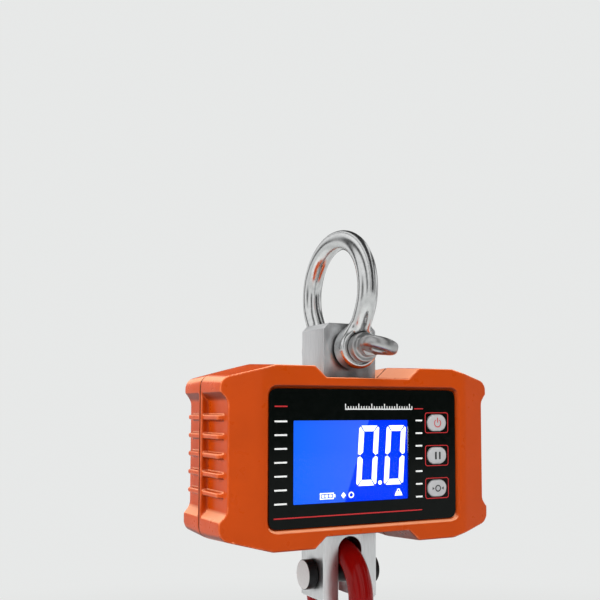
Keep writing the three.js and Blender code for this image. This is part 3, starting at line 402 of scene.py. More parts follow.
MATERIALS = {
    "polished_steel": metal("polished_steel", (0.70, 0.71, 0.71), 0.15, 0.05, 2.5, bump=0.0006),
    "block_metal": metal("block_metal", (0.76, 0.77, 0.78), 0.26, 0.08, 0.5, (1, 1, 0.08), 0.012, painted_shade_reach=9),
    "pin_steel": blackened("pin_steel"),
    "hook_paint": paint("hook_paint", (0.2, 0.002, 0.002), (0.3, 0.01, 0.01), 0.16, 0.012, coat=0.05,
                        shine=0.16),
    "zinc_steel": metal("zinc_steel", (0.62, 0.62, 0.60), 0.28, 0.1, 2.0, bump=0.01),
    "screw_steel": metal("screw_steel", (0.66, 0.66, 0.67), 0.2, 0.08, 0.8, bump=0.008),
    "case_paint": paint("case_paint", (0.50, 0.056, 0.001), (0.74, 0.2, 0.08), 0.31, 0.02, coat=0.0,
                        shine=0.16, seam=True),
    "gasket_rubber": plastic("gasket_rubber", (0.012, 0.012, 0.012), 0.8),
    "panel_gloss": plastic("panel_gloss", (0.002, 0.003, 0.0025), 0.12, 5, 0.01, Specular_IOR_Level=0.12),
    "window_clear": clear_window("window_clear", 0.15),
    "backlight_blue": backlight("backlight_blue"),
    "button_grey": plastic("button_grey", (0.47, 0.47, 0.48), 0.38, 0.5, 0.015),
    "black_plastic": plastic("black_plastic", (0.014, 0.014, 0.016), 0.5),
    "white_plastic": plastic("white_plastic", (0.70, 0.70, 0.66), 0.45),
    "board_green": board("board_green"),
    "foil_brass": metal("foil_brass", (0.72, 0.50, 0.22), 0.25, 0.1, 0.3),
    "cell_wrap": plastic("cell_wrap", (0.03, 0.06, 0.09), 0.3, 2.0, 0.01, Coat_Weight=0.3),
}
PIN_FORGING = metal("pin_forging", (0.48, 0.48, 0.48), 0.24, 0.08, 1.5, bump=0.004)
# The white and red print glows faintly: a painted glow, as no lamp lights it from behind.
WHITE_INK = glowing("white_ink", (0.80, 0.81, 0.80), 0.12)
RED_INK = glowing("red_ink", (0.50, 0.012, 0.016), 0.08)
DARK_INK = glowing("dark_ink", (0.02, 0.02, 0.022), 0.0)
SEGMENT = glowing("display_segment", (0.86, 0.90, 1.0), 0.85)


# ---------------------------------------------------------------- mesh tools

def mesh_from(form, name="mesh"):
    """A mesh from a bmesh, which is then freed."""
    mesh = bpy.data.meshes.new(name)
    form.to_mesh(mesh)
    form.free()
    return mesh


def mesh_object(name, form):
    bmesh.ops.recalc_face_normals(form, faces=form.faces)
    return in_scene(name, mesh_from(form, name))


def bake(made):
    """Applies an object's modifiers."""
    bpy.context.view_layer.update()
    evaluated = made.evaluated_get(bpy.context.evaluated_depsgraph_get())
    mesh = bpy.data.meshes.new_from_object(evaluated)
    made.modifiers.clear()
    made.data = mesh
    return made


def angles(parts, first, last):
    """Whole steps of a half turn cut in that many parts."""
    return [math.pi / parts * k for k in range(first, last + 1)]


def eased(points, steps=8):
    """A polygon whose corners are eased: each point is (a, b, radius)."""
    outline = []
    for i, (a, b, radius) in enumerate(points):
        corner = Vector((a, b))
        if not radius:
            outline.append(corner)
            continue
        before = corner + (Vector(points[i - 1][:2]) - corner).normalized() * radius
        after = corner + (Vector(points[(i + 1) % len(points)][:2]) - corner).normalized() * radius
        for k in range(steps + 1):
            t = k / steps
            outline.append(before * (1 - t) ** 2 + corner * 2 * t * (1 - t) + after * t * t)
    return outline


def rectangle(a0, a1, b0, b1, radius, steps=8):
    return eased([(a0, b0, radius), (a1, b0, radius), (a1, b1, radius), (a0, b1, radius)], steps)


def round_box(low, high, grow, radius, steps=8):
    """A box seen from the front, grown on every side."""
    return rectangle(low.x - grow, high.x + grow, low.z - grow, high.z + grow, radius, steps)


def arc(a, b, radius, start, end, steps):
    """Points on an arc, its angles in degrees."""
    turns = [math.radians(start + (end - start) * k / steps) for k in range(steps + 1)]
    return [Vector((a + radius * math.cos(turn), b + radius * math.sin(turn))) for turn in turns]


def oval(a, b, half_width, half_height, steps=24):
    straight = half_width - half_height
    right = arc(a + straight, b, half_height, -90, 90, steps)
    return right + arc(a - straight, b, half_height, 90, 270, steps)


PLACES = {
    "x": lambda a, b, depth: (depth, a, b),
    "y": lambda a, b, depth: (a, depth, b),
    "z": lambda a, b, depth: (a, b, depth),
}


def skinned(name, form, rings, closed=False):
    """A body from rings of vertices: capped at its two ends, or closed round on itself."""
    if not closed:
        form.faces.new(rings[0])
        form.faces.new(rings[-1])
    for lower, upper in zip(rings, rings[1:] + rings[:1] if closed else rings[1:]):
        for i in range(len(lower)):
            after = (i + 1) % len(lower)
            form.faces.new((lower[i], lower[after], upper[after], upper[i]))
    return mesh_object(name, form)


def loft(name, outlines, axis):
    """A closed body through outlines with as many points each, given as (outline, depth along the axis)."""
    form = bmesh.new()
    place = PLACES[axis]
    rings = [[form.verts.new(place(a, b, depth)) for a, b in outline] for outline, depth in outlines]
    return skinned(name, form, rings)


def prism(outline, axis, low, high):
    return loft("prism", [(outline, low), (outline, high)], axis)


def box(x0, x1, y0, y1, z0, z1):
    return prism([(x0, y0), (x1, y0), (x1, y1), (x0, y1)], "z", z0, z1)


def turned(profile, axis, centre, sides=64, thread=None):
    """A turned piece, its profile in (radius, place on the axis), its thread (from, to, pitch, depth)."""
    form = bmesh.new()
    place = PLACES[axis]
    rings = []
    for radius, along in profile:
        if radius == 0:
            rings.append([form.verts.new(place(centre[0], centre[1], along))])
            continue
        ring = []
        for i in range(sides):
            angle = 2 * math.pi * i / sides
            reach = radius
            if thread and thread[0] < along < thread[1]:
                turn = (along / thread[2] + i / sides) % 1
                reach -= thread[3] * abs(2 * turn - 1)
            ring.append(form.verts.new(place(centre[0] + reach * math.cos(angle),
                                             centre[1] + reach * math.sin(angle), along)))
        rings.append(ring)
    for lower, upper in zip(rings, rings[1:]):
        for i in range(sides):
            corners = [lower[i % len(lower)], lower[(i + 1) % len(lower)],
                       upper[(i + 1) % len(upper)], upper[i % len(upper)]]
            form.faces.new(list(dict.fromkeys(corners)))
    return mesh_object("turned", form)


def rod(axis, radius, low, high, centre, sides=48):
    return turned([(0, low), (radius, low), (radius, high), (0, high)], axis, centre, sides)


def combine(body, tools, operation):
    """Joins or cuts a body with tools, which are used up."""
    for tool in tools:
        change = body.modifiers.new(operation, "BOOLEAN")
        change.operation = operation
        change.solver = "EXACT"
        change.object = tool
    bake(body)
    for tool in tools:
        bpy.data.objects.remove(tool)
    return body


def cut(body, *tools):
    return combine(body, tools, "DIFFERENCE")


def lump(body, *others):
    """Puts several bodies in one mesh, overlapping as they lie. A remesh then makes them one skin."""
    form = bmesh.new()
    for made in (body, *others):
        form.from_mesh(made.data)
    body.data = mesh_from(form)
    for made in others:
        bpy.data.objects.remove(made)
    return body


def forged(body, voxel, passes, keep=1.0):
    """One smooth skin over everything in the mesh, its edges softened as casting and forging leave them."""
    skin = body.modifiers.new("skin", "REMESH")
    skin.mode = "VOXEL"
    skin.voxel_size = voxel
    soften = body.modifiers.new("soften", "SMOOTH")
    soften.factor = 0.5
    soften.iterations = passes
    if keep < 1:
        body.modifiers.new("thin", "DECIMATE").ratio = keep
    return bake(body)


def smooth_union(a, b, reach):
    """The smaller of two distances, with a fillet where they are nearly alike."""
    share = max(reach - abs(a - b), 0) / reach
    return min(a, b) - share * share * reach / 4


def smooth_cut(a, tool, reach):
    return -smooth_union(-a, tool, reach)


def puck(radius, half, ease, across, along):
    """Distance from a round disc with eased rims, from the place across and along its axis."""
    out = across - radius + ease
    up = abs(along) - half + ease
    return min(max(out, up), 0) + math.hypot(max(out, 0), max(up, 0)) - ease


class Route:
    """Finds the nearest place on a curve given as closely spaced points."""

    def __init__(self, points):
        self.points = points
        self.tree = KDTree(len(points))
        for i, point in enumerate(points):
            self.tree.insert(point, i)
        self.tree.balance()

    def nearest(self, place):
        """The nearest point, and the share of the route up to it."""
        _, i, _ = self.tree.find(place)
        last = len(self.points) - 1
        before, start, after = (self.points[k] for k in (max(i - 1, 0), i, min(i + 1, last)))
        along = (after - before).normalized()
        step = (after - before).length / 2
        reach = max(-step, min(step, (place - start).dot(along)))
        return start + along * reach, i / last


def drawn_to(body, distance, where=None):
    """Draws the skin onto the surface where a distance function is nought."""
    passes, step, near, furthest = 3, 0.02, 0.002, 1.2
    sides = [Vector((step, 0, 0)), Vector((0, step, 0)), Vector((0, 0, step))]
    for vert in body.data.vertices:
        place = vert.co.copy()
        if where and not where(place):
            continue
        for _ in range(passes):
            off = distance(place)
            slope = Vector([(distance(place + side) - off) / step for side in sides])
            if abs(off) < near or slope.length < 0.2:
                break
            place -= slope.normalized() * (off / slope.length)
        if (place - vert.co).length < furthest:
            vert.co = place
    return body


def bevelled(body, width, segments=3, least_angle=30, where=None):
    """Rounds every edge sharper than that angle, or those of them that where(edge) picks."""
    form = bmesh.new()
    form.from_mesh(body.data)
    bmesh.ops.remove_doubles(form, verts=form.verts, dist=1e-4)
    bmesh.ops.dissolve_limit(form, angle_limit=math.radians(0.6), verts=form.verts, edges=form.edges)
    sharp = [edge for edge in form.edges
             if len(edge.link_faces) == 2 and edge.calc_face_angle(0) > math.radians(least_angle)
             and (where is None or where(edge))]
    bmesh.ops.bevel(form, geom=sharp, offset=width, offset_type="OFFSET", segments=segments, profile=0.5,
                    affect="EDGES", clamp_overlap=True, loop_slide=True)
    body.data = mesh_from(form)
    return body


def settle(piece, name, body, slot, *nodes, material=None, smooth_angle=None):
    """Moves a finished piece into the frame, gives it its material and lets it ride on its body."""
    piece.data.transform(TO_FRAME)
    piece.name = piece.data.name = name
    piece.data.materials.clear()
    piece.data.materials.append(material or MATERIALS[slot])
    piece.data.shade_smooth()
    if smooth_angle:
        piece.data.set_sharp_from_angle(angle=math.radians(smooth_angle))
    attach(piece, body)
    if nodes:
        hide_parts(*nodes)


def between(a, b, start, end, t):
    return a * ((end - t) / (end - start)) + b * ((t - start) / (end - start))


def spline(points, count):
    """A centripetal Catmull-Rom curve through the points, as that many places evenly spaced along it."""
    ends = [points[0] * 2 - points[1], *points, points[-1] * 2 - points[-2]]
    fine = []
    per_span = 40
    for p0, p1, p2, p3 in zip(ends, ends[1:], ends[2:], ends[3:]):
        t1 = (p1 - p0).length ** 0.5
        t2 = t1 + (p2 - p1).length ** 0.5
        t3 = t2 + (p3 - p2).length ** 0.5
        for k in range(per_span):
            t = t1 + (t2 - t1) * k / per_span
            middle = between(p1, p2, t1, t2, t)
            fine.append(between(between(between(p0, p1, 0, t1, t), middle, 0, t2, t),
                                between(middle, between(p2, p3, t2, t3, t), t1, t3, t), t1, t2, t))
    fine.append(points[-1])
    lengths = [0]
    for a, b in zip(fine, fine[1:]):
        lengths.append(lengths[-1] + (b - a).length)
    places, at = [], 0
    for k in range(count):
        want = lengths[-1] * k / (count - 1)
        while at < len(fine) - 2 and lengths[at + 1] < want:
            at += 1
        share = (want - lengths[at]) / max(lengths[at + 1] - lengths[at], 1e-9)
        places.append(fine[at].lerp(fine[at + 1], min(share, 1)))
    return places


def swept(name, route, sections, sides=40):
    """A bar along a route. Each section is (half width along X, half depth square to it)."""
    across = Vector((1, 0, 0))
    form = bmesh.new()
    rings = []
    for i, (centre, (half_width, half_depth)) in enumerate(zip(route, sections)):
        tangent = (route[min(i + 1, len(route) - 1)] - route[max(i - 1, 0)]).normalized()
        side = (across - tangent * across.dot(tangent)).normalized()
        other = tangent.cross(side)
        rings.append([form.verts.new(centre + side * (half_width * math.cos(2 * math.pi * k / sides))
                                     + other * (half_depth * math.sin(2 * math.pi * k / sides)))
                      for k in range(sides)])
    return skinned(name, form, rings)


# ---------------------------------------------------------------- shackle

BOW_LOW, BOW_HIGH = node_box("shackle_bow")
BAR = 5.1
LUG = {"radius": 10.5, "inner": 13, "outer": 23, "ease": 2}
PIN_Z = BOW_LOW.z + LUG["radius"]
ARC = {"half_width": BOW_HIGH.y - BAR, "height": 27.8, "sweep_below": 0.588}
PIN = {"radius": 5.2, "collar": 7.5, "collar_length": 5, "neck": 4.6, "neck_length": 4, "tab_radius": 9,
       "tab_half": 2.8, "eye": 3.6, "tab_y": -41, "turn": 16, "pitch": 1.6, "thread": 0.45}


def bow_route():
    """The bar's centreline, up one leg, round the arc and down the other."""
    middle = BOW_HIGH.z - BAR - ARC["height"]
    legs = [Vector((0, (LUG["inner"] + LUG["outer"]) / 2, PIN_Z)),
            Vector((0, (LUG["inner"] + LUG["outer"] + 1) / 2, PIN_Z + LUG["radius"] / 2))]
    points = list(legs)
    steps = 12
    for i in range(steps + 1):
        angle = -ARC["sweep_below"] + i / steps * (math.pi + 2 * ARC["sweep_below"])
        points.append(Vector((0, ARC["half_width"] * math.cos(angle),
                              middle + ARC["height"] * math.sin(angle))))
    points += [Vector((0, -leg.y, leg.z)) for leg in reversed(legs)]
    return spline(points, 600)


def shackle_bow():
    route = bow_route()
    bar = swept("bar", route[::3], [(BAR, BAR)] * len(route[::3]), 32)
    radius, inner, outer, ease = LUG["radius"], LUG["inner"], LUG["outer"], LUG["ease"]
    half, middle = (outer - inner) / 2, (outer + inner) / 2
    lugs = [rod("y", radius, *sorted((side * inner, side * outer)), (0, PIN_Z)) for side in (-1, 1)]
    bore = PIN["radius"] + CLEARANCE
    spot = PIN["collar"] + CLEARANCE
    curve = Route(route)

    def distance(place):
        nearest, _ = curve.nearest(place)
        across = math.hypot(place.x, place.z - PIN_Z)
        depth = abs(place.y)
        lug = puck(radius, half, ease, across, depth - middle)
        solid = smooth_union((place - nearest).length - BAR, lug, 5)
        if place.z < PIN_Z + radius + 4:
            solid = smooth_cut(solid, max(depth - inner, place.z - PIN_Z - radius), 0.8)
            solid = smooth_cut(solid, across - bore, 0.9)
            solid = smooth_cut(solid, max(across - spot, outer - depth), 0.6)
        return solid

    bow = forged(lump(bar, *lugs), 0.5, 2)
    jaw = box(-12, 12, -inner, inner, PIN_Z - 12, PIN_Z + radius)
    spots = [rod("y", spot, *sorted((side * outer, side * (outer + 10))), (0, PIN_Z)) for side in (-1, 1)]
    cut(bow, jaw, rod("y", bore, -outer - 5, outer + 5, (0, PIN_Z)), *spots)
    drawn_to(forged(bow, 0.5, 1), distance)
    settle(bow, "bow_forging", "shackle", "polished_steel", "shackle_bow")


def shackle_pin():
    """The pin with its thread and collar, and the flat eye that turns it, which rests a little turned."""
    back = -LUG["outer"] - CLEARANCE
    front = back - PIN["collar_length"]
    neck_end = front - PIN["neck_length"]
    radius, collar, neck, tab_half, eye, tab_y = (PIN[key] for key in
                                                  ("radius", "collar", "neck", "tab_half", "eye", "tab_y"))
    end, thread_from = LUG["outer"], LUG["inner"]
    steps = int((end - 0.8 - thread_from) / 0.2)
    shank = [(0, neck_end), (neck, neck_end), (neck, front), (collar, front), (collar, back), (radius, back),
             (radius, back + 1), (radius, thread_from)]
    shank += [(radius, thread_from + 0.2 * k) for k in range(1, steps)]
    shank += [(radius - 0.8, end), (0, end)]
    # The tab's round part runs into the neck from 31 degrees past its widest place.
    root_angle = 31
    outline = arc(0, tab_y, PIN["tab_radius"], 180 - root_angle, 360 + root_angle, 72)
    outline += [Vector((neck, front + 1)), Vector((-neck, front + 1))]
    level = Matrix.Translation((0, 0, PIN_Z)) @ Matrix.Rotation(math.radians(PIN["turn"]), 4, "Y")
    flat = level.inverted()
    tab = prism(outline, "z", -tab_half, tab_half)
    cut(tab, rod("z", eye, -9, 9, (0, tab_y)))
    tab.data.transform(level)
    body = turned(shank, "y", (0, PIN_Z), 64, (thread_from, end - 1, PIN["pitch"], PIN["thread"]))
    wide = math.sin(math.radians(root_angle)) * PIN["tab_radius"] + tab_y
    wide_half, taper = 7.7, 3.1

    def distance(place):
        across = math.hypot(place.x, place.z - PIN_Z)
        disc = puck(collar, PIN["collar_length"] / 2, 0.9, across, place.y - (front + back) / 2)
        stem = max(across - neck, neck_end - place.y)
        local = flat @ place
        round_part = math.hypot(local.x, local.y - tab_y)
        share = max(0, min(1, (local.y - wide) / (front + 1 - wide)))
        root = max(abs(local.x) - (wide_half - taper * share), wide - local.y, local.y - front - 1)
        plate = smooth_union(round_part - PIN["tab_radius"], root, 2)
        plate = smooth_cut(plate, tab_half - abs(local.z), 2.4)
        plate = smooth_cut(plate, round_part - eye, 1.4)
        return smooth_union(smooth_union(disc, stem, 1.2), plate, 1.5)

    pin = forged(lump(body, tab), 0.32, 1)
    drawn_to(pin, distance, where=lambda place: place.y < back - 0.7)
    settle(pin, "screw_pin_forging", "shackle_pin", "polished_steel", "shackle_pin", material=PIN_FORGING)


# ---------------------------------------------------------------- load cell block and hook pin

BLOCK_LOW, BLOCK_HIGH = node_box("load_cell_block")
HOOK_PIN_LOW, HOOK_PIN_HIGH = node_box("hook_pin")
HOOK_PIN_Z = (HOOK_PIN_LOW.z + HOOK_PIN_HIGH.z) / 2
FORK = {"half_slot": 6.5, "top": -38.7, "pin_radius": 5.2}
CELL_WINDOW = {"z": 5, "radius": 8}
BRACKET_HOLE = {"z": -20.5, "radius": 1.6, "depth": 6}


def load_cell_block():
    half, top, bottom = BLOCK_HIGH.x, BLOCK_HIGH.z, BLOCK_LOW.z
    chamfer, foot = 3, 1
    outline = [(-half + foot, bottom), (half - foot, bottom), (half, bottom + foot), (half, top - chamfer),
               (half - chamfer, top), (-half + chamfer, top), (-half, top - chamfer), (-half, bottom + foot)]
    blank = prism(outline, "y", BLOCK_LOW.y, BLOCK_HIGH.y)
    reach = BLOCK_HIGH.y + 3
    slot = [Vector((-FORK["half_slot"], bottom - 3)), Vector((FORK["half_slot"], bottom - 3))]
    slot += arc(0, FORK["top"] - FORK["half_slot"], FORK["half_slot"], 0, 180, 32)
    holes = [
        prism(slot, "y", -reach, reach),
        rod("y", PIN["radius"] + CLEARANCE, -reach, reach, (0, PIN_Z), 64),
        rod("x", FORK["pin_radius"] + CLEARANCE, -half - 3, half + 3, (0, HOOK_PIN_Z), 64),
        rod("y", CELL_WINDOW["radius"], -reach, reach, (0, CELL_WINDOW["z"]), 64),
    ]
    for side in (-1, 1):
        ends = sorted((side * (half + 2), side * (half - BRACKET_HOLE["depth"])))
        holes.append(rod("x", BRACKET_HOLE["radius"], *ends, (0, BRACKET_HOLE["z"]), 32))
    block = bevelled(cut(blank, *holes), 0.45, 3, 25)
    settle(block, "load_cell_body", "scale", "block_metal", "load_cell_block", smooth_angle=24)


def hook_pin():
    """The headed pin, and the cap on its other end, which has the same face."""
    head, ease = (HOOK_PIN_HIGH.z - HOOK_PIN_LOW.z) / 2, 0.45
    half = BLOCK_HIGH.x + CLEARANCE
    left, right = HOOK_PIN_LOW.x, HOOK_PIN_HIGH.x
    radius, spigot = FORK["pin_radius"], 3
    shoulder = half - CLEARANCE - 1
    face = [(0, left), (head - ease - 0.1, left)]
    face += [(head - ease + ease * math.sin(a), left + ease - ease * math.cos(a)) for a in angles(12, 0, 6)]
    shank = face + [(head, -half - 0.2), (head - 0.2, -half), (radius, -half), (radius, shoulder - 0.4),
                    (radius - 0.4, shoulder), (spigot, shoulder), (spigot, right - 0.4),
                    (spigot - 0.4, right), (0, right)]
    pin = turned(shank, "x", (0, HOOK_PIN_Z), 96)
    settle(pin, "cross_pin", "scale", "pin_steel", "hook_pin", smooth_angle=28)
    cap = turned([(r, -x) for r, x in face] + [(head, half + 0.2), (head - 0.2, half), (0, half)], "x",
                 (0, HOOK_PIN_Z), 96)
    cut(cap, rod("x", spigot + CLEARANCE, half - 2, right + CLEARANCE, (0, HOOK_PIN_Z), 48))
    settle(cap, "cross_pin_cap", "scale", "pin_steel", "hook_pin_cap", smooth_angle=28)


# ---------------------------------------------------------------- hook and latch

EYE = {"z": HOOK_PIN_Z - 11, "radius": 22.8, "bar": 6.1}
# The forging's centreline from the foot of the eye to the tip: y, z from the eye's centre, half depth
# and half width.
HOOK_SPINE = [(0, -23, 6.1, 6.1), (8, -32, 6.9, 6.5), (15.5, -45, 8, 7), (18, -59, 8.6, 7.2),
              (12, -75, 9, 7.2), (-3, -82.5, 9, 7.2), (-18.5, -77, 8, 6.6), (-26.5, -64, 6.2, 5.6),
              (-28, -49, 3.6, 3.8)]
TIP_RADIUS = 3.6
LATCH = {"y": -9, "z": EYE["z"] - 31, "boss": 4.4, "boss_half": 2.6, "pin_radius": 1.6}


def hook_eye():
    """The round eye as a closed ring."""
    form = bmesh.new()
    centre, around, sides = Vector((0, 0, EYE["z"])), 160, 48
    rings = []
    for a in (2 * math.pi * k / around for k in range(around)):
        middle = Vector((0, EYE["radius"] * math.cos(a), EYE["z"] + EYE["radius"] * math.sin(a)))
        out = (middle - centre).normalized()
        rings.append([form.verts.new(middle + Vector((EYE["bar"] * math.sin(b), 0, 0))
                                     + out * EYE["bar"] * math.cos(b))
                      for b in (2 * math.pi * k / sides for k in range(sides))])
    return skinned("eye", form, rings, closed=True)


def hook_forging():
    route = spline([Vector((0, y, EYE["z"] + z)) for y, z, _, _ in HOOK_SPINE], 180)
    sections = []
    for i in range(len(route)):
        place = min(i / (len(route) - 1), 0.9999) * (len(HOOK_SPINE) - 1)
        start, end = HOOK_SPINE[int(place)], HOOK_SPINE[int(place) + 1]
        share = place % 1
        depth, width = (start[k] + (end[k] - start[k]) * share for k in (2, 3))
        sections.append((width, depth))
    bar = swept("bar", route, sections, 48)
    eye = hook_eye()
    tip_y, tip_z = route[-1].y, route[-1].z
    ball = [(TIP_RADIUS * math.sin(a), tip_z - TIP_RADIUS * math.cos(a)) for a in angles(16, 1, 15)]
    tip = turned([(0, tip_z - TIP_RADIUS), *ball, (0, tip_z + TIP_RADIUS)], "z", (0, tip_y), 48)
    spot = Vector((LATCH["y"], LATCH["z"]))
    boss = rod("x", LATCH["boss"], -LATCH["boss_half"], LATCH["boss_half"], spot, 64)
    curve = Route(route)

    def distance(place):
        ring = math.hypot(math.hypot(place.y, place.z - EYE["z"]) - EYE["radius"], place.x) - EYE["bar"]
        if place.z > EYE["z"] - 8:
            return ring
        nearest, share = curve.nearest(place)
        width, depth = sections[int(share * (len(sections) - 1))]
        away = place - nearest
        outward = math.hypot(away.y, away.z)
        shaft = (math.hypot(away.x / width, outward / depth) - 1) * min(width, depth)
        knuckle = max((Vector((place.y, place.z)) - spot).length - LATCH["boss"],
                      abs(place.x) - LATCH["boss_half"])
        return smooth_union(smooth_union(ring, shaft, 7), knuckle, 1.5)

    hook = forged(lump(bar, eye, tip, boss), 0.6, 4)
    drawn_to(hook, distance, where=lambda place: place.z > tip_z or place.y > tip_y + 8)
    cut(hook, rod("x", LATCH["pin_radius"] + CLEARANCE, -9, 9, spot, 48))
    settle(hook, "hook_forging", "hook", "hook_paint", "hook")


def latch_rivet():
    head, thick, end = 2.75, 0.9, node_box("latch_pin")[1].x
    dome = [(head * math.sin(a), end - thick + thick * math.cos(a)) for a in angles(12, 1, 6)]
    right = [(0, end), *dome, (LATCH["pin_radius"], end - thick)]
    rivet = turned(right + [(r, -x) for r, x in reversed(right)], "x", (LATCH["y"], LATCH["z"]), 48)
    settle(rivet, "latch_rivet", "hook", "zinc_steel", "latch_pin", smooth_angle=40)


def latch_spring():
    low, high = node_box("latch_spring")
    wire, inset = 0.42, 0.45
    radius = (high.z - low.z) / 2 - inset
    turns, steps = 2, 48
    lean = math.radians(-34.6)
    route = []
    for i in range(turns * steps + 1):
        angle = 2 * math.pi * i / steps
        along = low.x + inset + (high.x - low.x - 2 * inset) * i / (turns * steps)
        y, z = radius * math.sin(angle), radius * math.cos(angle)
        route.append(Vector((along, LATCH["y"] + y * math.cos(lean) - z * math.sin(lean),
                             LATCH["z"] + y * math.sin(lean) + z * math.cos(lean))))
    spring = swept("spring", route, [(wire, wire)] * len(route), 16)
    settle(spring, "latch_coil", "hook", "screw_steel", "latch_spring")


# ---------------------------------------------------------------- case shells

FRONT_LOW, FRONT_HIGH = node_box("front_shell")
REAR_HIGH = node_box("rear_shell")[1]
PANEL_LOW, PANEL_HIGH = node_box("front_panel")
LID_LOW, LID_HIGH = node_box("battery_cover")
TRAY_LOW, TRAY_HIGH = node_box("battery_tray")
CASE = {
    "half_width": FRONT_HIGH.x, "front": FRONT_LOW.y, "rear": REAR_HIGH.y, "seam": -FRONT_HIGH.y,
    "mid_z": (FRONT_LOW.z + FRONT_HIGH.z) / 2, "half_height": 44.5, "side_half_height": 37.6,
    "crease": 57.5, "side_front": -26, "side_rear": 22, "slope_x": 50.5, "corner": 5,
    "notch_top_x": 29.2, "notch_floor_x": 23.2, "notch_height": 38.9, "draft": 0.035 / 31,
    "wall": 3.2, "front_wall": 4.5, "rear_wall": 3, "cavity_half_width": 69, "rounding": 1.9,
    "crease_rounding": 1.3, "cavity_slope": 0.6,
}
GRIP = {"floor_x": 71.8, "top": 33, "floor_top": 28.6, "floor_bottom": -22.2, "bottom": -26.3, "flange": 2.1}
RIB = {"count": 5, "top": 22.2, "pitch": 8.85, "height": 2.4, "outer_x": 74.9, "end": 21, "slant": 2.2,
       "root": 1.2}
SCREW = {"x": 62, "height": 33.2, "head_y": node_box("case_screw_1")[1].y - 2.2, "tip_y": -16}
POCKET = {"bevel": 1.3, "corner": 4.5, "ledge": 4}
SEAL_WALL = 1.2
GASKET = {"half_width": 73, "width": 1.4}
# Radii of the towers round the case screws and of their bores, then the same for the smaller posts, and the
# place along Y where the posts of the battery cover's screws begin.
TOWER = {"front": 4, "rear": 5.4, "thread": 2, "shank": 2.4, "head": 3.9}
POST = {"board": 3, "cover": 3.4, "bracket": 3.2, "board_thread": 1.3, "thread": 1.5, "cover_from_y": 21}
FAR = 60  # half the reach of bodies that must clear the case


def case_outline(half_width, inset, corner):
    """The case seen from the front, inset on every side, as points round its middle height."""
    top = CASE["half_height"] - inset
    notch = CASE["notch_height"] - inset
    slope = (CASE["half_height"] - CASE["side_half_height"]) / (CASE["half_width"] - CASE["slope_x"])
    side = top - slope * (half_width - CASE["slope_x"])
    quarter = [(half_width, side, corner), (CASE["slope_x"], top, 0),
               (CASE["notch_top_x"] + inset / 2, top, 0), (CASE["notch_floor_x"] + inset / 2, notch, 0)]
    upper = quarter + [(-x, h, r) for x, h, r in reversed(quarter)]
    return eased(upper + [(-x, -h, r) for x, h, r in upper], 12)


def drafted(outline, low, high):
    """That outline as a body along Y, which shrinks in height away from the seam."""
    layers = []
    for y in (low, high):
        scale = 1 - CASE["draft"] * abs(y)
        layers.append(([(x, CASE["mid_z"] + h * scale) for x, h in outline], y))
    return loft("drafted", layers, "y")


def plan(face, side, half_width, seam):
    """The case seen from above, as a body that reaches past its top and bottom."""
    crease = CASE["crease"]
    points = [(half_width, seam), (half_width, side), (crease, face), (-crease, face), (-half_width, side),
              (-half_width, seam)]
    return prism(points, "z", -FAR, FAR)


def gasket_groove():
    """The room that the gasket takes from both rims."""
    outer = drafted(case_outline(GASKET["half_width"] + CLEARANCE, 0.6, 4), -1, 1)
    inner = drafted(case_outline(GASKET["half_width"] - GASKET["width"] - CLEARANCE, 2.6, 3), -2, 2)
    return cut(outer, inner)


def screw_places():
    return [(sx * SCREW["x"], CASE["mid_z"] + sz * SCREW["height"]) for sx in (-1, 1) for sz in (-1, 1)]


def shell_blank(sign):
    """One shell, rounded and hollow, and the ribs of its grips. The sign is -1 in front and 1 behind."""
    face, side, wall = ((CASE["front"], CASE["side_front"], CASE["front_wall"]) if sign < 0 else
                        (CASE["rear"], CASE["side_rear"], CASE["rear_wall"]))
    seam = sign * CASE["seam"]
    outer = drafted(case_outline(CASE["half_width"], 0, CASE["corner"]), *sorted((0, face + sign)))
    combine(outer, [plan(face, side, CASE["half_width"], seam)], "INTERSECT")

    def outside(edge):
        return not all(vert.co.y * sign < 0.5 for vert in edge.verts)

    def on_crease(edge):
        return all(abs(abs(vert.co.x) - CASE["crease"]) < 0.01 for vert in edge.verts)

    bevelled(outer, CASE["crease_rounding"], 2, 12.5, lambda edge: outside(edge) and on_crease(edge))
    bevelled(outer, CASE["rounding"], 5, 16.5, outside)
    inside = face - sign * wall
    inside_side = inside - (face - side) * CASE["cavity_slope"]
    hollow = CASE["cavity_half_width"]
    cavity = drafted(case_outline(hollow, CASE["wall"], 2), *sorted((-sign, inside + sign)))
    combine(cavity, [plan(inside, inside_side, hollow, -2 * sign)], "INTERSECT")
    gap = SEAL_WALL + CLEARANCE
    wide, deep = BLOCK_HIGH.x + gap, BLOCK_HIGH.y + gap
    throat = box(-wide, wide, -deep, deep, -FAR, FAR)
    tools = [cavity, throat]
    grip_from, grip_to = sorted((sign * GRIP["flange"], face + 2 * sign))
    out = CASE["half_width"] + 3
    ribs = []
    end = RIB["end"] * (1 if sign < 0 else CASE["side_rear"] / -CASE["side_front"])
    for mirror in (-1, 1):
        grip = eased([(mirror * out, GRIP["bottom"] - 1.5, 0),
                      (mirror * CASE["half_width"], GRIP["bottom"], 2),
                      (mirror * GRIP["floor_x"], GRIP["floor_bottom"], 2),
                      (mirror * GRIP["floor_x"], GRIP["floor_top"], 2),
                      (mirror * CASE["half_width"], GRIP["top"], 2), (mirror * out, GRIP["top"] + 1.5, 0)])
        tools.append(prism(grip, "y", grip_from, grip_to))
        inner = GRIP["floor_x"] - RIB["root"]
        slanted = sign * (end + RIB["slant"])
        outer_x = mirror * RIB["outer_x"]
        rib = [(mirror * inner, sign), (outer_x, sign), (outer_x, sign * end),
               (mirror * GRIP["floor_x"], slanted), (mirror * inner, slanted)]
        for i in range(RIB["count"]):
            top = RIB["top"] - i * RIB["pitch"]
            ribs.append(bevelled(prism(rib, "z", top - RIB["height"], top), 0.7, 3, 20))
    return cut(outer, *tools), ribs


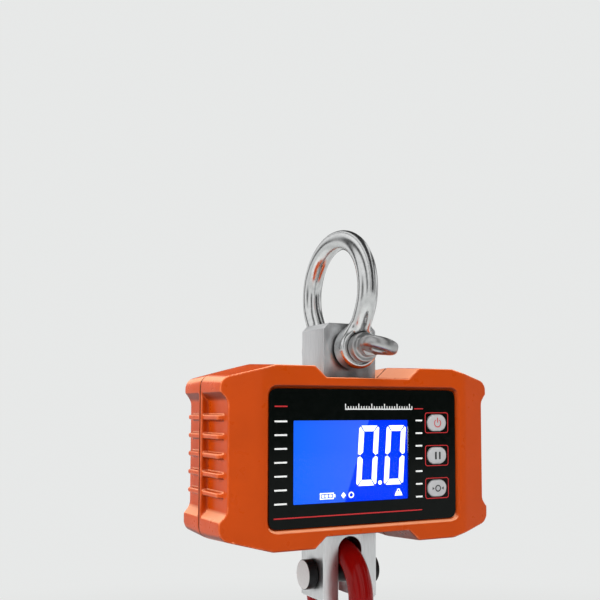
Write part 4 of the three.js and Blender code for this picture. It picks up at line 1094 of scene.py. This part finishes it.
def flat_at_seam(shell, sign):
    """Makes the rim where the shells meet flat and crisp again."""
    for vert in shell.data.vertices:
        if abs(vert.co.y - sign * CASE["seam"]) < 0.3:
            vert.co.y = sign * CASE["seam"]


def pocket(name, steps):
    """A tool for the panel's pocket. Each step is (how far it grows on every side, place along Y)."""
    return loft(name, [(round_box(PANEL_LOW, PANEL_HIGH, CLEARANCE + grow, POCKET["corner"] + grow), y)
                       for grow, y in steps], "y")


def front_shell():
    shell, ribs = shell_blank(-1)
    front, sheet, seat = CASE["front"], PANEL_LOW.y, PANEL_HIGH.y + CLEARANCE
    reach = POCKET["bevel"]
    mouth = pocket("mouth", ((reach * 1.6, front - 0.75), (reach, front), (0, sheet - 0.3), (0, seat)))
    inner = front + CASE["front_wall"]
    window = prism(round_box(PANEL_LOW, PANEL_HIGH, -POCKET["ledge"], 2), "y", sheet, inner + 3)
    cut(shell, mouth, window)
    towers = []
    for place in screw_places():
        tower = rod("y", TOWER["front"], inner - 1, -CASE["seam"] - 0.1, place)
        towers.append(cut(tower, rod("y", TOWER["thread"], SCREW["tip_y"] - 1, 3, place)))
    for i in range(1, 5):
        middle = node_middle(f"board_screw_{i}")
        place = (middle.x, middle.z)
        post = rod("y", POST["board"], inner - 1, node_box("main_board")[0].y - CLEARANCE, place)
        towers.append(cut(post, rod("y", POST["board_thread"], inner + 1, 0, place, 24)))
    cut(shell, gasket_groove())
    flat_at_seam(forged(lump(shell, *ribs, *towers), 0.5, 3, 0.5), -1)
    # The pocket's lip is cut crisp after the rest has been softened.
    cut(shell, pocket("lip", ((2.1, front - 0.75), (1.4, front), (0.3, sheet - 0.15), (0.1, seat - 0.1))))
    settle(shell, "front_casting", "scale", "case_paint", "front_shell")


def rear_shell():
    shell, ribs = shell_blank(1)
    rear = CASE["rear"]
    inner = rear - CASE["rear_wall"]
    additions = []
    for place in screw_places():
        tower = rod("y", TOWER["rear"], CASE["seam"] + 0.1, inner + 0.5, place)
        combine(tower, [plan(rear, CASE["side_rear"], CASE["half_width"], 0)], "INTERSECT")
        additions.append(tower)
    cover, foot = node_middle("cover_screw_right"), node_middle("bracket_screw_right")
    foot_y = node_box("block_bracket_right")[1].y
    pairs = [((side * cover.x, cover.z), (side * foot.x, foot.z)) for side in (-1, 1)]
    for at_cover, at_foot in pairs:
        additions.append(rod("y", POST["cover"], POST["cover_from_y"], inner + 0.5, at_cover))
        additions.append(rod("y", POST["bracket"], foot_y + CLEARANCE, inner + 0.5, at_foot))
    forged(lump(shell, *additions), 0.55, 1)
    flange = 2
    lid = prism(round_box(LID_LOW, LID_HIGH, CLEARANCE, 3), "y", LID_LOW.y - CLEARANCE, rear + 3)
    mouth = prism(round_box(TRAY_LOW, TRAY_HIGH, CLEARANCE - flange, 1), "y", inner - 3, rear)
    tools = [lid, mouth, gasket_groove()]
    for place in screw_places():
        tools.append(rod("y", TOWER["shank"], -1, rear + 2, place))
        tools.append(rod("y", TOWER["head"], SCREW["head_y"] - CLEARANCE, rear + 3, place))
    for at_cover, at_foot in pairs:
        tools.append(rod("y", POST["thread"], POST["cover_from_y"] + 1.5, rear, at_cover, 32))
        tools.append(rod("y", POST["thread"], foot_y - 1, foot_y + 8, at_foot, 32))
    cut(shell, *tools)
    flat_at_seam(forged(lump(shell, *ribs), 0.53, 3, 0.5), 1)
    settle(shell, "rear_casting", "scale", "case_paint", "rear_shell")


def battery_cover():
    screw_at = node_middle("cover_screw_right")
    lid = prism(round_box(LID_LOW, LID_HIGH, 0, 3), "y", LID_LOW.y, LID_HIGH.y)
    for side in (-1, 1):
        cut(lid, rod("y", 1.6, LID_LOW.y - 1, LID_HIGH.y + 1, (side * screw_at.x, screw_at.z), 32))
    # Three grooves give a finger its grip.
    half_width, half_height, pitch, depth = 8, 0.6, 3.2, 0.7
    for k in (-1, 0, 1):
        z = (LID_LOW.z + LID_HIGH.z) / 2 + pitch * k
        outline = rectangle(-half_width, half_width, z - half_height, z + half_height, 0.55)
        cut(lid, prism(outline, "y", LID_HIGH.y - depth, LID_HIGH.y + 1))
    forged(bevelled(lid, 0.35, 3, 35), 0.4, 1, 0.5)
    settle(lid, "battery_door", "battery_cover", "case_paint", "battery_cover")


# ---------------------------------------------------------------- screws

def screw(node, body, slot, shank, head_height, pitch, drive):
    """A pan-head screw along Y in the room of its CAD node, with a thread and a socket in its head."""
    low, high = node_box(node)
    middle = node_middle(node)
    centre = (middle.x, middle.z)
    head = (high.x - low.x) / 2
    forwards = node.startswith(("case", "cover", "board"))
    top, tip = (high.y, low.y) if forwards else (low.y, high.y)
    sign = 1 if forwards else -1
    under = top - sign * head_height
    length = abs(under - tip)
    steps = int(length / (pitch / 5))
    point = shank * 0.6
    profile = [(0, tip), (shank * 0.5, tip), (shank, tip + sign * point)]
    profile += [(shank, tip + sign * (point + (length - point) * k / steps)) for k in range(1, steps)]
    profile += [(shank, under), (head - 0.15, under), (head, under + sign * 0.15)]
    round_from = head_height * 0.5
    profile += [(head * (0.72 + 0.28 * math.cos(a)), under + sign * (round_from + round_from * math.sin(a)))
                for a in angles(12, 0, 6)]
    profile.append((0, top))
    first, last = sorted((tip, under - sign * 2 * pitch))
    made = turned(profile, "y", centre, 28, (first, last, pitch, shank * 0.22))
    socket_from, socket_to = sorted((top - sign * head_height * 0.55, top + sign))
    if drive == "hex":
        outline = arc(*centre, head * 0.5, 0, 300, 5)
    else:
        arm, half = head * 0.6, head * 0.13
        outline = [(-arm, -half), (-half, -half), (-half, -arm), (half, -arm), (half, -half), (arm, -half),
                   (arm, half), (half, half), (half, arm), (-half, arm), (-half, half), (-arm, half)]
        outline = [(centre[0] + a, centre[1] + b) for a, b in outline]
    cut(made, prism(outline, "y", socket_from, socket_to))
    settle(made, f"{node}_threaded", body, slot, node, smooth_angle=35)


def screws():
    for i in range(1, 5):
        screw(f"case_screw_{i}", "scale", "screw_steel", 1.7, 2.2, 0.8, "hex")
        screw(f"board_screw_{i}", "scale", "zinc_steel", 1.0, 1.5, 0.5, "cross")
    for side in ("left", "right"):
        screw(f"cover_screw_{side}", "battery_cover", "screw_steel", 1.2, 1.4, 0.5, "cross")
        screw(f"bracket_screw_{side}", "scale", "zinc_steel", 1.2, 1.6, 0.6, "cross")


# ---------------------------------------------------------------- panel, display and buttons

BUTTONS = ("power", "hold", "zero")
PRINT = 0.08


def front_panel():
    through = (PANEL_LOW.y - 1, PANEL_HIGH.y + 1)
    panel = prism(round_box(PANEL_LOW, PANEL_HIGH, 0, POCKET["corner"], 16), "y", PANEL_LOW.y, PANEL_HIGH.y)
    holes = [prism(round_box(*node_box("display_window"), CLEARANCE, 0.6), "y", *through)]
    for name in BUTTONS:
        middle = node_middle(f"{name}_button")
        holes.append(prism(oval(middle.x, middle.z, 6.1, 4.5), "y", *through))
    bevelled(cut(panel, *holes), 0.18, 2, 40)
    settle(panel, "panel_sheet", "scale", "panel_gloss", "front_panel", smooth_angle=10)


def ink(name, outlines, depth, material, slot="panel_gloss", body="scale", thickness=PRINT):
    """Printed marks: thin raised shapes on a surface that faces -Y at that depth."""
    form = bmesh.new()
    for outline in outlines:
        mark = prism(outline, "y", depth - thickness, depth + 0.02)
        form.from_mesh(mark.data)
        bpy.data.objects.remove(mark)
    settle(in_scene(name, mesh_from(form, name)), name, body, slot, material=material, smooth_angle=30)


def bar(a0, a1, z, thickness):
    return rectangle(a0, a1, z - thickness / 2, z + thickness / 2, thickness * 0.3, 3)


def bar_upright(x, z0, z1, thickness):
    return rectangle(x - thickness / 2, x + thickness / 2, z0, z1, thickness * 0.3, 3)


def block(a0, a1, b0, b1):
    """A printed rectangle with barely eased corners."""
    return rectangle(a0, a1, b0, b1, 0.1, 2)


def ring_pieces(outer, inner):
    """A closed band between two outlines with the same number of points, as two halves."""
    n = len(outer)
    half = n // 2
    return [outer[:half + 1] + list(reversed(inner[:half + 1])),
            outer[half:] + [outer[0]] + [inner[0]] + list(reversed(inner[half:]))]


def circle(x, z, outer, inner, steps=23):
    """A printed ring, as two halves."""
    end = 360 - 360 / (steps + 1)
    return ring_pieces(*(arc(x, z, radius, 0, end, steps) for radius in (outer, inner)))


def panel_print():
    face = PANEL_LOW.y
    ticks, pitch, first = 7, 6.34, 19.2
    white = []
    for i in range(ticks):
        z = first - i * pitch
        white.append(bar(-50, -43.5, z, 0.8))
        white.append(bar(28.1, 32.1, z, 0.8))
    # A plain graduated rule heads the panel.
    rule = {"left": -12.6, "right": 26.2, "foot": 24.9, "height": 2.6}
    white.append(bar(rule["left"], rule["right"], rule["foot"], 0.55))
    divisions = 26
    for i in range(divisions + 1):
        x = rule["left"] + 0.25 + (rule["right"] - rule["left"] - 0.5) * i / divisions
        tall = rule["height"] if i % 5 == 0 else rule["height"] * 0.55
        white.append(block(x - 0.22, x + 0.22, rule["foot"], rule["foot"] + tall))
    ink("panel_marks_white", white, face, WHITE_INK)
    red = [bar(-50, -43.4, 26.15, 0.6), bar(27.4, 32.7, 25.1, 0.5), bar(-50.2, 31.8, -25.4, 0.55)]
    line, width, height, corner = 0.38, 14.4, 10.5, 1.6
    for top in (23.25, 6.65, -9.75):
        middle_x, middle_z = 41.0, top - height / 2
        edges = []
        for grow in (0, -line):
            half_x, half_z = width / 2 + grow, height / 2 + grow
            edges.append(rectangle(middle_x - half_x, middle_x + half_x,
                                   middle_z - half_z, middle_z + half_z, corner + grow))
        red += ring_pieces(*edges)
    ink("panel_marks_red", red, face, RED_INK)


DIGIT = {"width": 11.3, "height": 29.2, "bar": 2.8, "gap": 0.28, "lean": 0.066, "foot": -12.35}


def digit_segments(left, lit):
    """The lit segments of one digit, from its lower left corner."""
    w, h, t, g = DIGIT["width"], DIGIT["height"], DIGIT["bar"], DIGIT["gap"]
    middle = h / 2
    corner = 0.9
    shapes = {
        "a": [(g + corner, h), (w - g - corner, h), (w - t - g, h - t), (t + g, h - t)],
        "d": [(t + g, t), (w - t - g, t), (w - g - corner, 0), (g + corner, 0)],
        "f": [(0, h - corner - 0.3), (corner - 0.2, h - 0.5), (t, h - t - g), (t, middle + 1.7),
              (0.45 * t, middle + g), (0, middle + 0.9)],
        "e": [(0, corner + 0.3), (0, middle - 0.9), (0.45 * t, middle - g), (t, middle - 1.7), (t, t + g),
              (corner - 0.2, 0.5)],
    }
    for right, source in (("b", "f"), ("c", "e")):
        shapes[right] = [(w - a, b) for a, b in reversed(shapes[source])]
    return [[(left + a + DIGIT["lean"] * b, DIGIT["foot"] + b) for a, b in shapes[name]] for name in lit]


def display():
    glass = node_box("lcd_glass")[0].y
    marks = digit_segments(-5.45, "abcdef") + digit_segments(10.25, "abcdef")
    marks.append(arc(8.1, -11.1, 1.05, 0, 345, 23))
    # A battery gauge, a steady mark, a zero ring and a small weight, in place of words.
    foot, top, middle = -17.9, -14.9, -16.4
    x, wide, line = -25.3, 7.4, 0.45
    marks += [block(x, x + wide, foot, foot + line), block(x, x + wide, top - line, top),
              block(x, x + line, foot, top), block(x + wide - line, x + wide, foot, top),
              block(x + wide + 0.1, x + wide + 0.9, foot + 0.8, top - 0.8)]
    marks += [block(x + 0.95 + 2 * k, x + 2.35 + 2 * k, foot + 0.85, top - 0.85) for k in range(3)]
    marks.append([(-12.5, foot), (-11.2, middle), (-12.5, top), (-13.8, middle)])
    marks += circle(-8.2, middle, 1.5, 0.95)
    marks.append([(16.6, foot), (21.2, foot), (20.3, foot + 2.1), (17.5, foot + 2.1)])
    marks += circle(18.9, foot + 2.5, 0.95, 0.5)
    ink("display_segments", marks, glass - 0.06, SEGMENT, "white_plastic", thickness=0.1)


def button(name):
    """A domed key with a flange behind the panel and a stem to its switch. Gives the middle of its face."""
    low, high = node_box(f"{name}_button")
    middle = node_middle(f"{name}_button")
    x, z = middle.x, middle.z
    half_x, half_z = 5.8, 4.2
    crown = []
    for inset, y in ((2.6, 0), (1.4, 0.06), (0.7, 0.22), (0.3, 0.45), (0.08, 0.75), (0, 1.1), (0, 2.2)):
        crown.append((oval(x, z, half_x - inset, half_z - inset), low.y + y))
    cap = loft("cap", crown, "y")
    back = PANEL_HIGH.y + CLEARANCE
    flange = prism(oval(x, z, half_x + 0.9, half_z + 0.9), "y", back, back + 1)
    neck = prism(oval(x, z, half_x, half_z), "y", low.y + 2, back + 0.5)
    stem = rod("y", 2, back + 0.5, high.y, (x, z), 32)
    combine(cap, [neck, flange, stem], "UNION")
    settle(cap, f"{name}_keycap", f"{name}_button", "button_grey", f"{name}_button", smooth_angle=45)
    return x, low.y, z


def buttons():
    def key_ink(name, marks, y, material):
        ink(f"{name}_mark", marks, y, material, "button_grey", f"{name}_button", 0.1)

    x, y, z = button("power")
    sweep = arc(x, z - 0.15, 2.15, 125, 415, 40) + list(reversed(arc(x, z - 0.15, 1.7, 125, 415, 40)))
    key_ink("power", [sweep, bar_upright(x, z + 0.1, z + 2.7, 0.5)], y, RED_INK)
    x, y, z = button("hold")
    key_ink("hold", [bar_upright(x + side * 1.2, z - 1.9, z + 1.9, 1.0) for side in (-1, 1)], y, DARK_INK)
    x, y, z = button("zero")
    marks = circle(x, z, 1.75, 1.15, 35)
    for side in (-1, 1):
        marks.append([(x + side * 2.2, z), (x + side * 3.4, z + 0.8), (x + side * 3.4, z - 0.8)])
    key_ink("zero", marks, y, DARK_INK)


# ---------------------------------------------------------------- batteries

def batteries():
    for i in (1, 2, 3):
        low, high = node_box(f"battery_{i}")
        middle = node_middle(f"battery_{i}")
        radius = (high.z - low.z) / 2
        flip = -1 if i == 2 else 1
        start, end = (low.x, high.x) if flip > 0 else (high.x, low.x)
        body_end = end - flip * 1.1
        round_off = 0.6
        ease = [(radius - round_off * (1 - math.sin(a)), round_off * (1 - math.cos(a)))
                for a in angles(8, 0, 4)]
        profile = [(0, start), (radius - 2.2, start), (radius - 2, start + flip * 0.25),
                   (radius - 1.4, start)]
        profile += [(r, start + flip * x) for r, x in ease]
        profile += [(r, body_end - flip * x) for r, x in reversed(ease)]
        profile += [(radius - 1.4, body_end), (radius - 2, body_end - flip * 0.3),
                    (2.9, body_end - flip * 0.2),
                    (2.7, body_end), (2.7, end - flip * 0.2), (2.5, end), (0, end)]
        cell = turned(profile, "x", (middle.y, middle.z), 64)
        settle(cell, f"cell_{i}", "scale", "cell_wrap", f"battery_{i}", smooth_angle=40)


# ---------------------------------------------------------------- pieces that keep their CAD shape

def finish_nodes():
    """Every CAD node still showing gets its material and softly broken edges."""
    sharp = math.radians(38)
    for name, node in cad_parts.items():
        if node.hide_render:
            continue
        slot = node.data.materials[0].name.split(".")[0]
        node.data.materials[0] = MATERIALS[slot]
        low, high = node_box(name)
        flat = node.modifiers.new("flat", "DECIMATE")
        flat.decimate_type = "DISSOLVE"
        flat.angle_limit = math.radians(0.5)
        edge = node.modifiers.new("edge", "BEVEL")
        edge.width = min(0.25, min(high - low) / 6) * MM
        edge.segments = 2
        edge.limit_method = "ANGLE"
        edge.angle_limit = sharp
        edge.harden_normals = True
        node.data.shade_smooth()
        node.data.set_sharp_from_angle(angle=sharp)


make_camera()
make_floor()
make_world()
area_light("key", (0.0, -1.15, 0.6), (0.8, 0.8), 10)
area_light("left", (-1.2, 0.15, 0.35), (0.7, 1.0), 11.5)
area_light("top", (-0.15, 0.05, 1.3), (0.9, 0.7), 15)

shackle_bow()
shackle_pin()
load_cell_block()
hook_pin()
hook_forging()
latch_rivet()
latch_spring()
front_shell()
rear_shell()
battery_cover()
screws()
front_panel()
panel_print()
display()
buttons()
batteries()
finish_nodes()
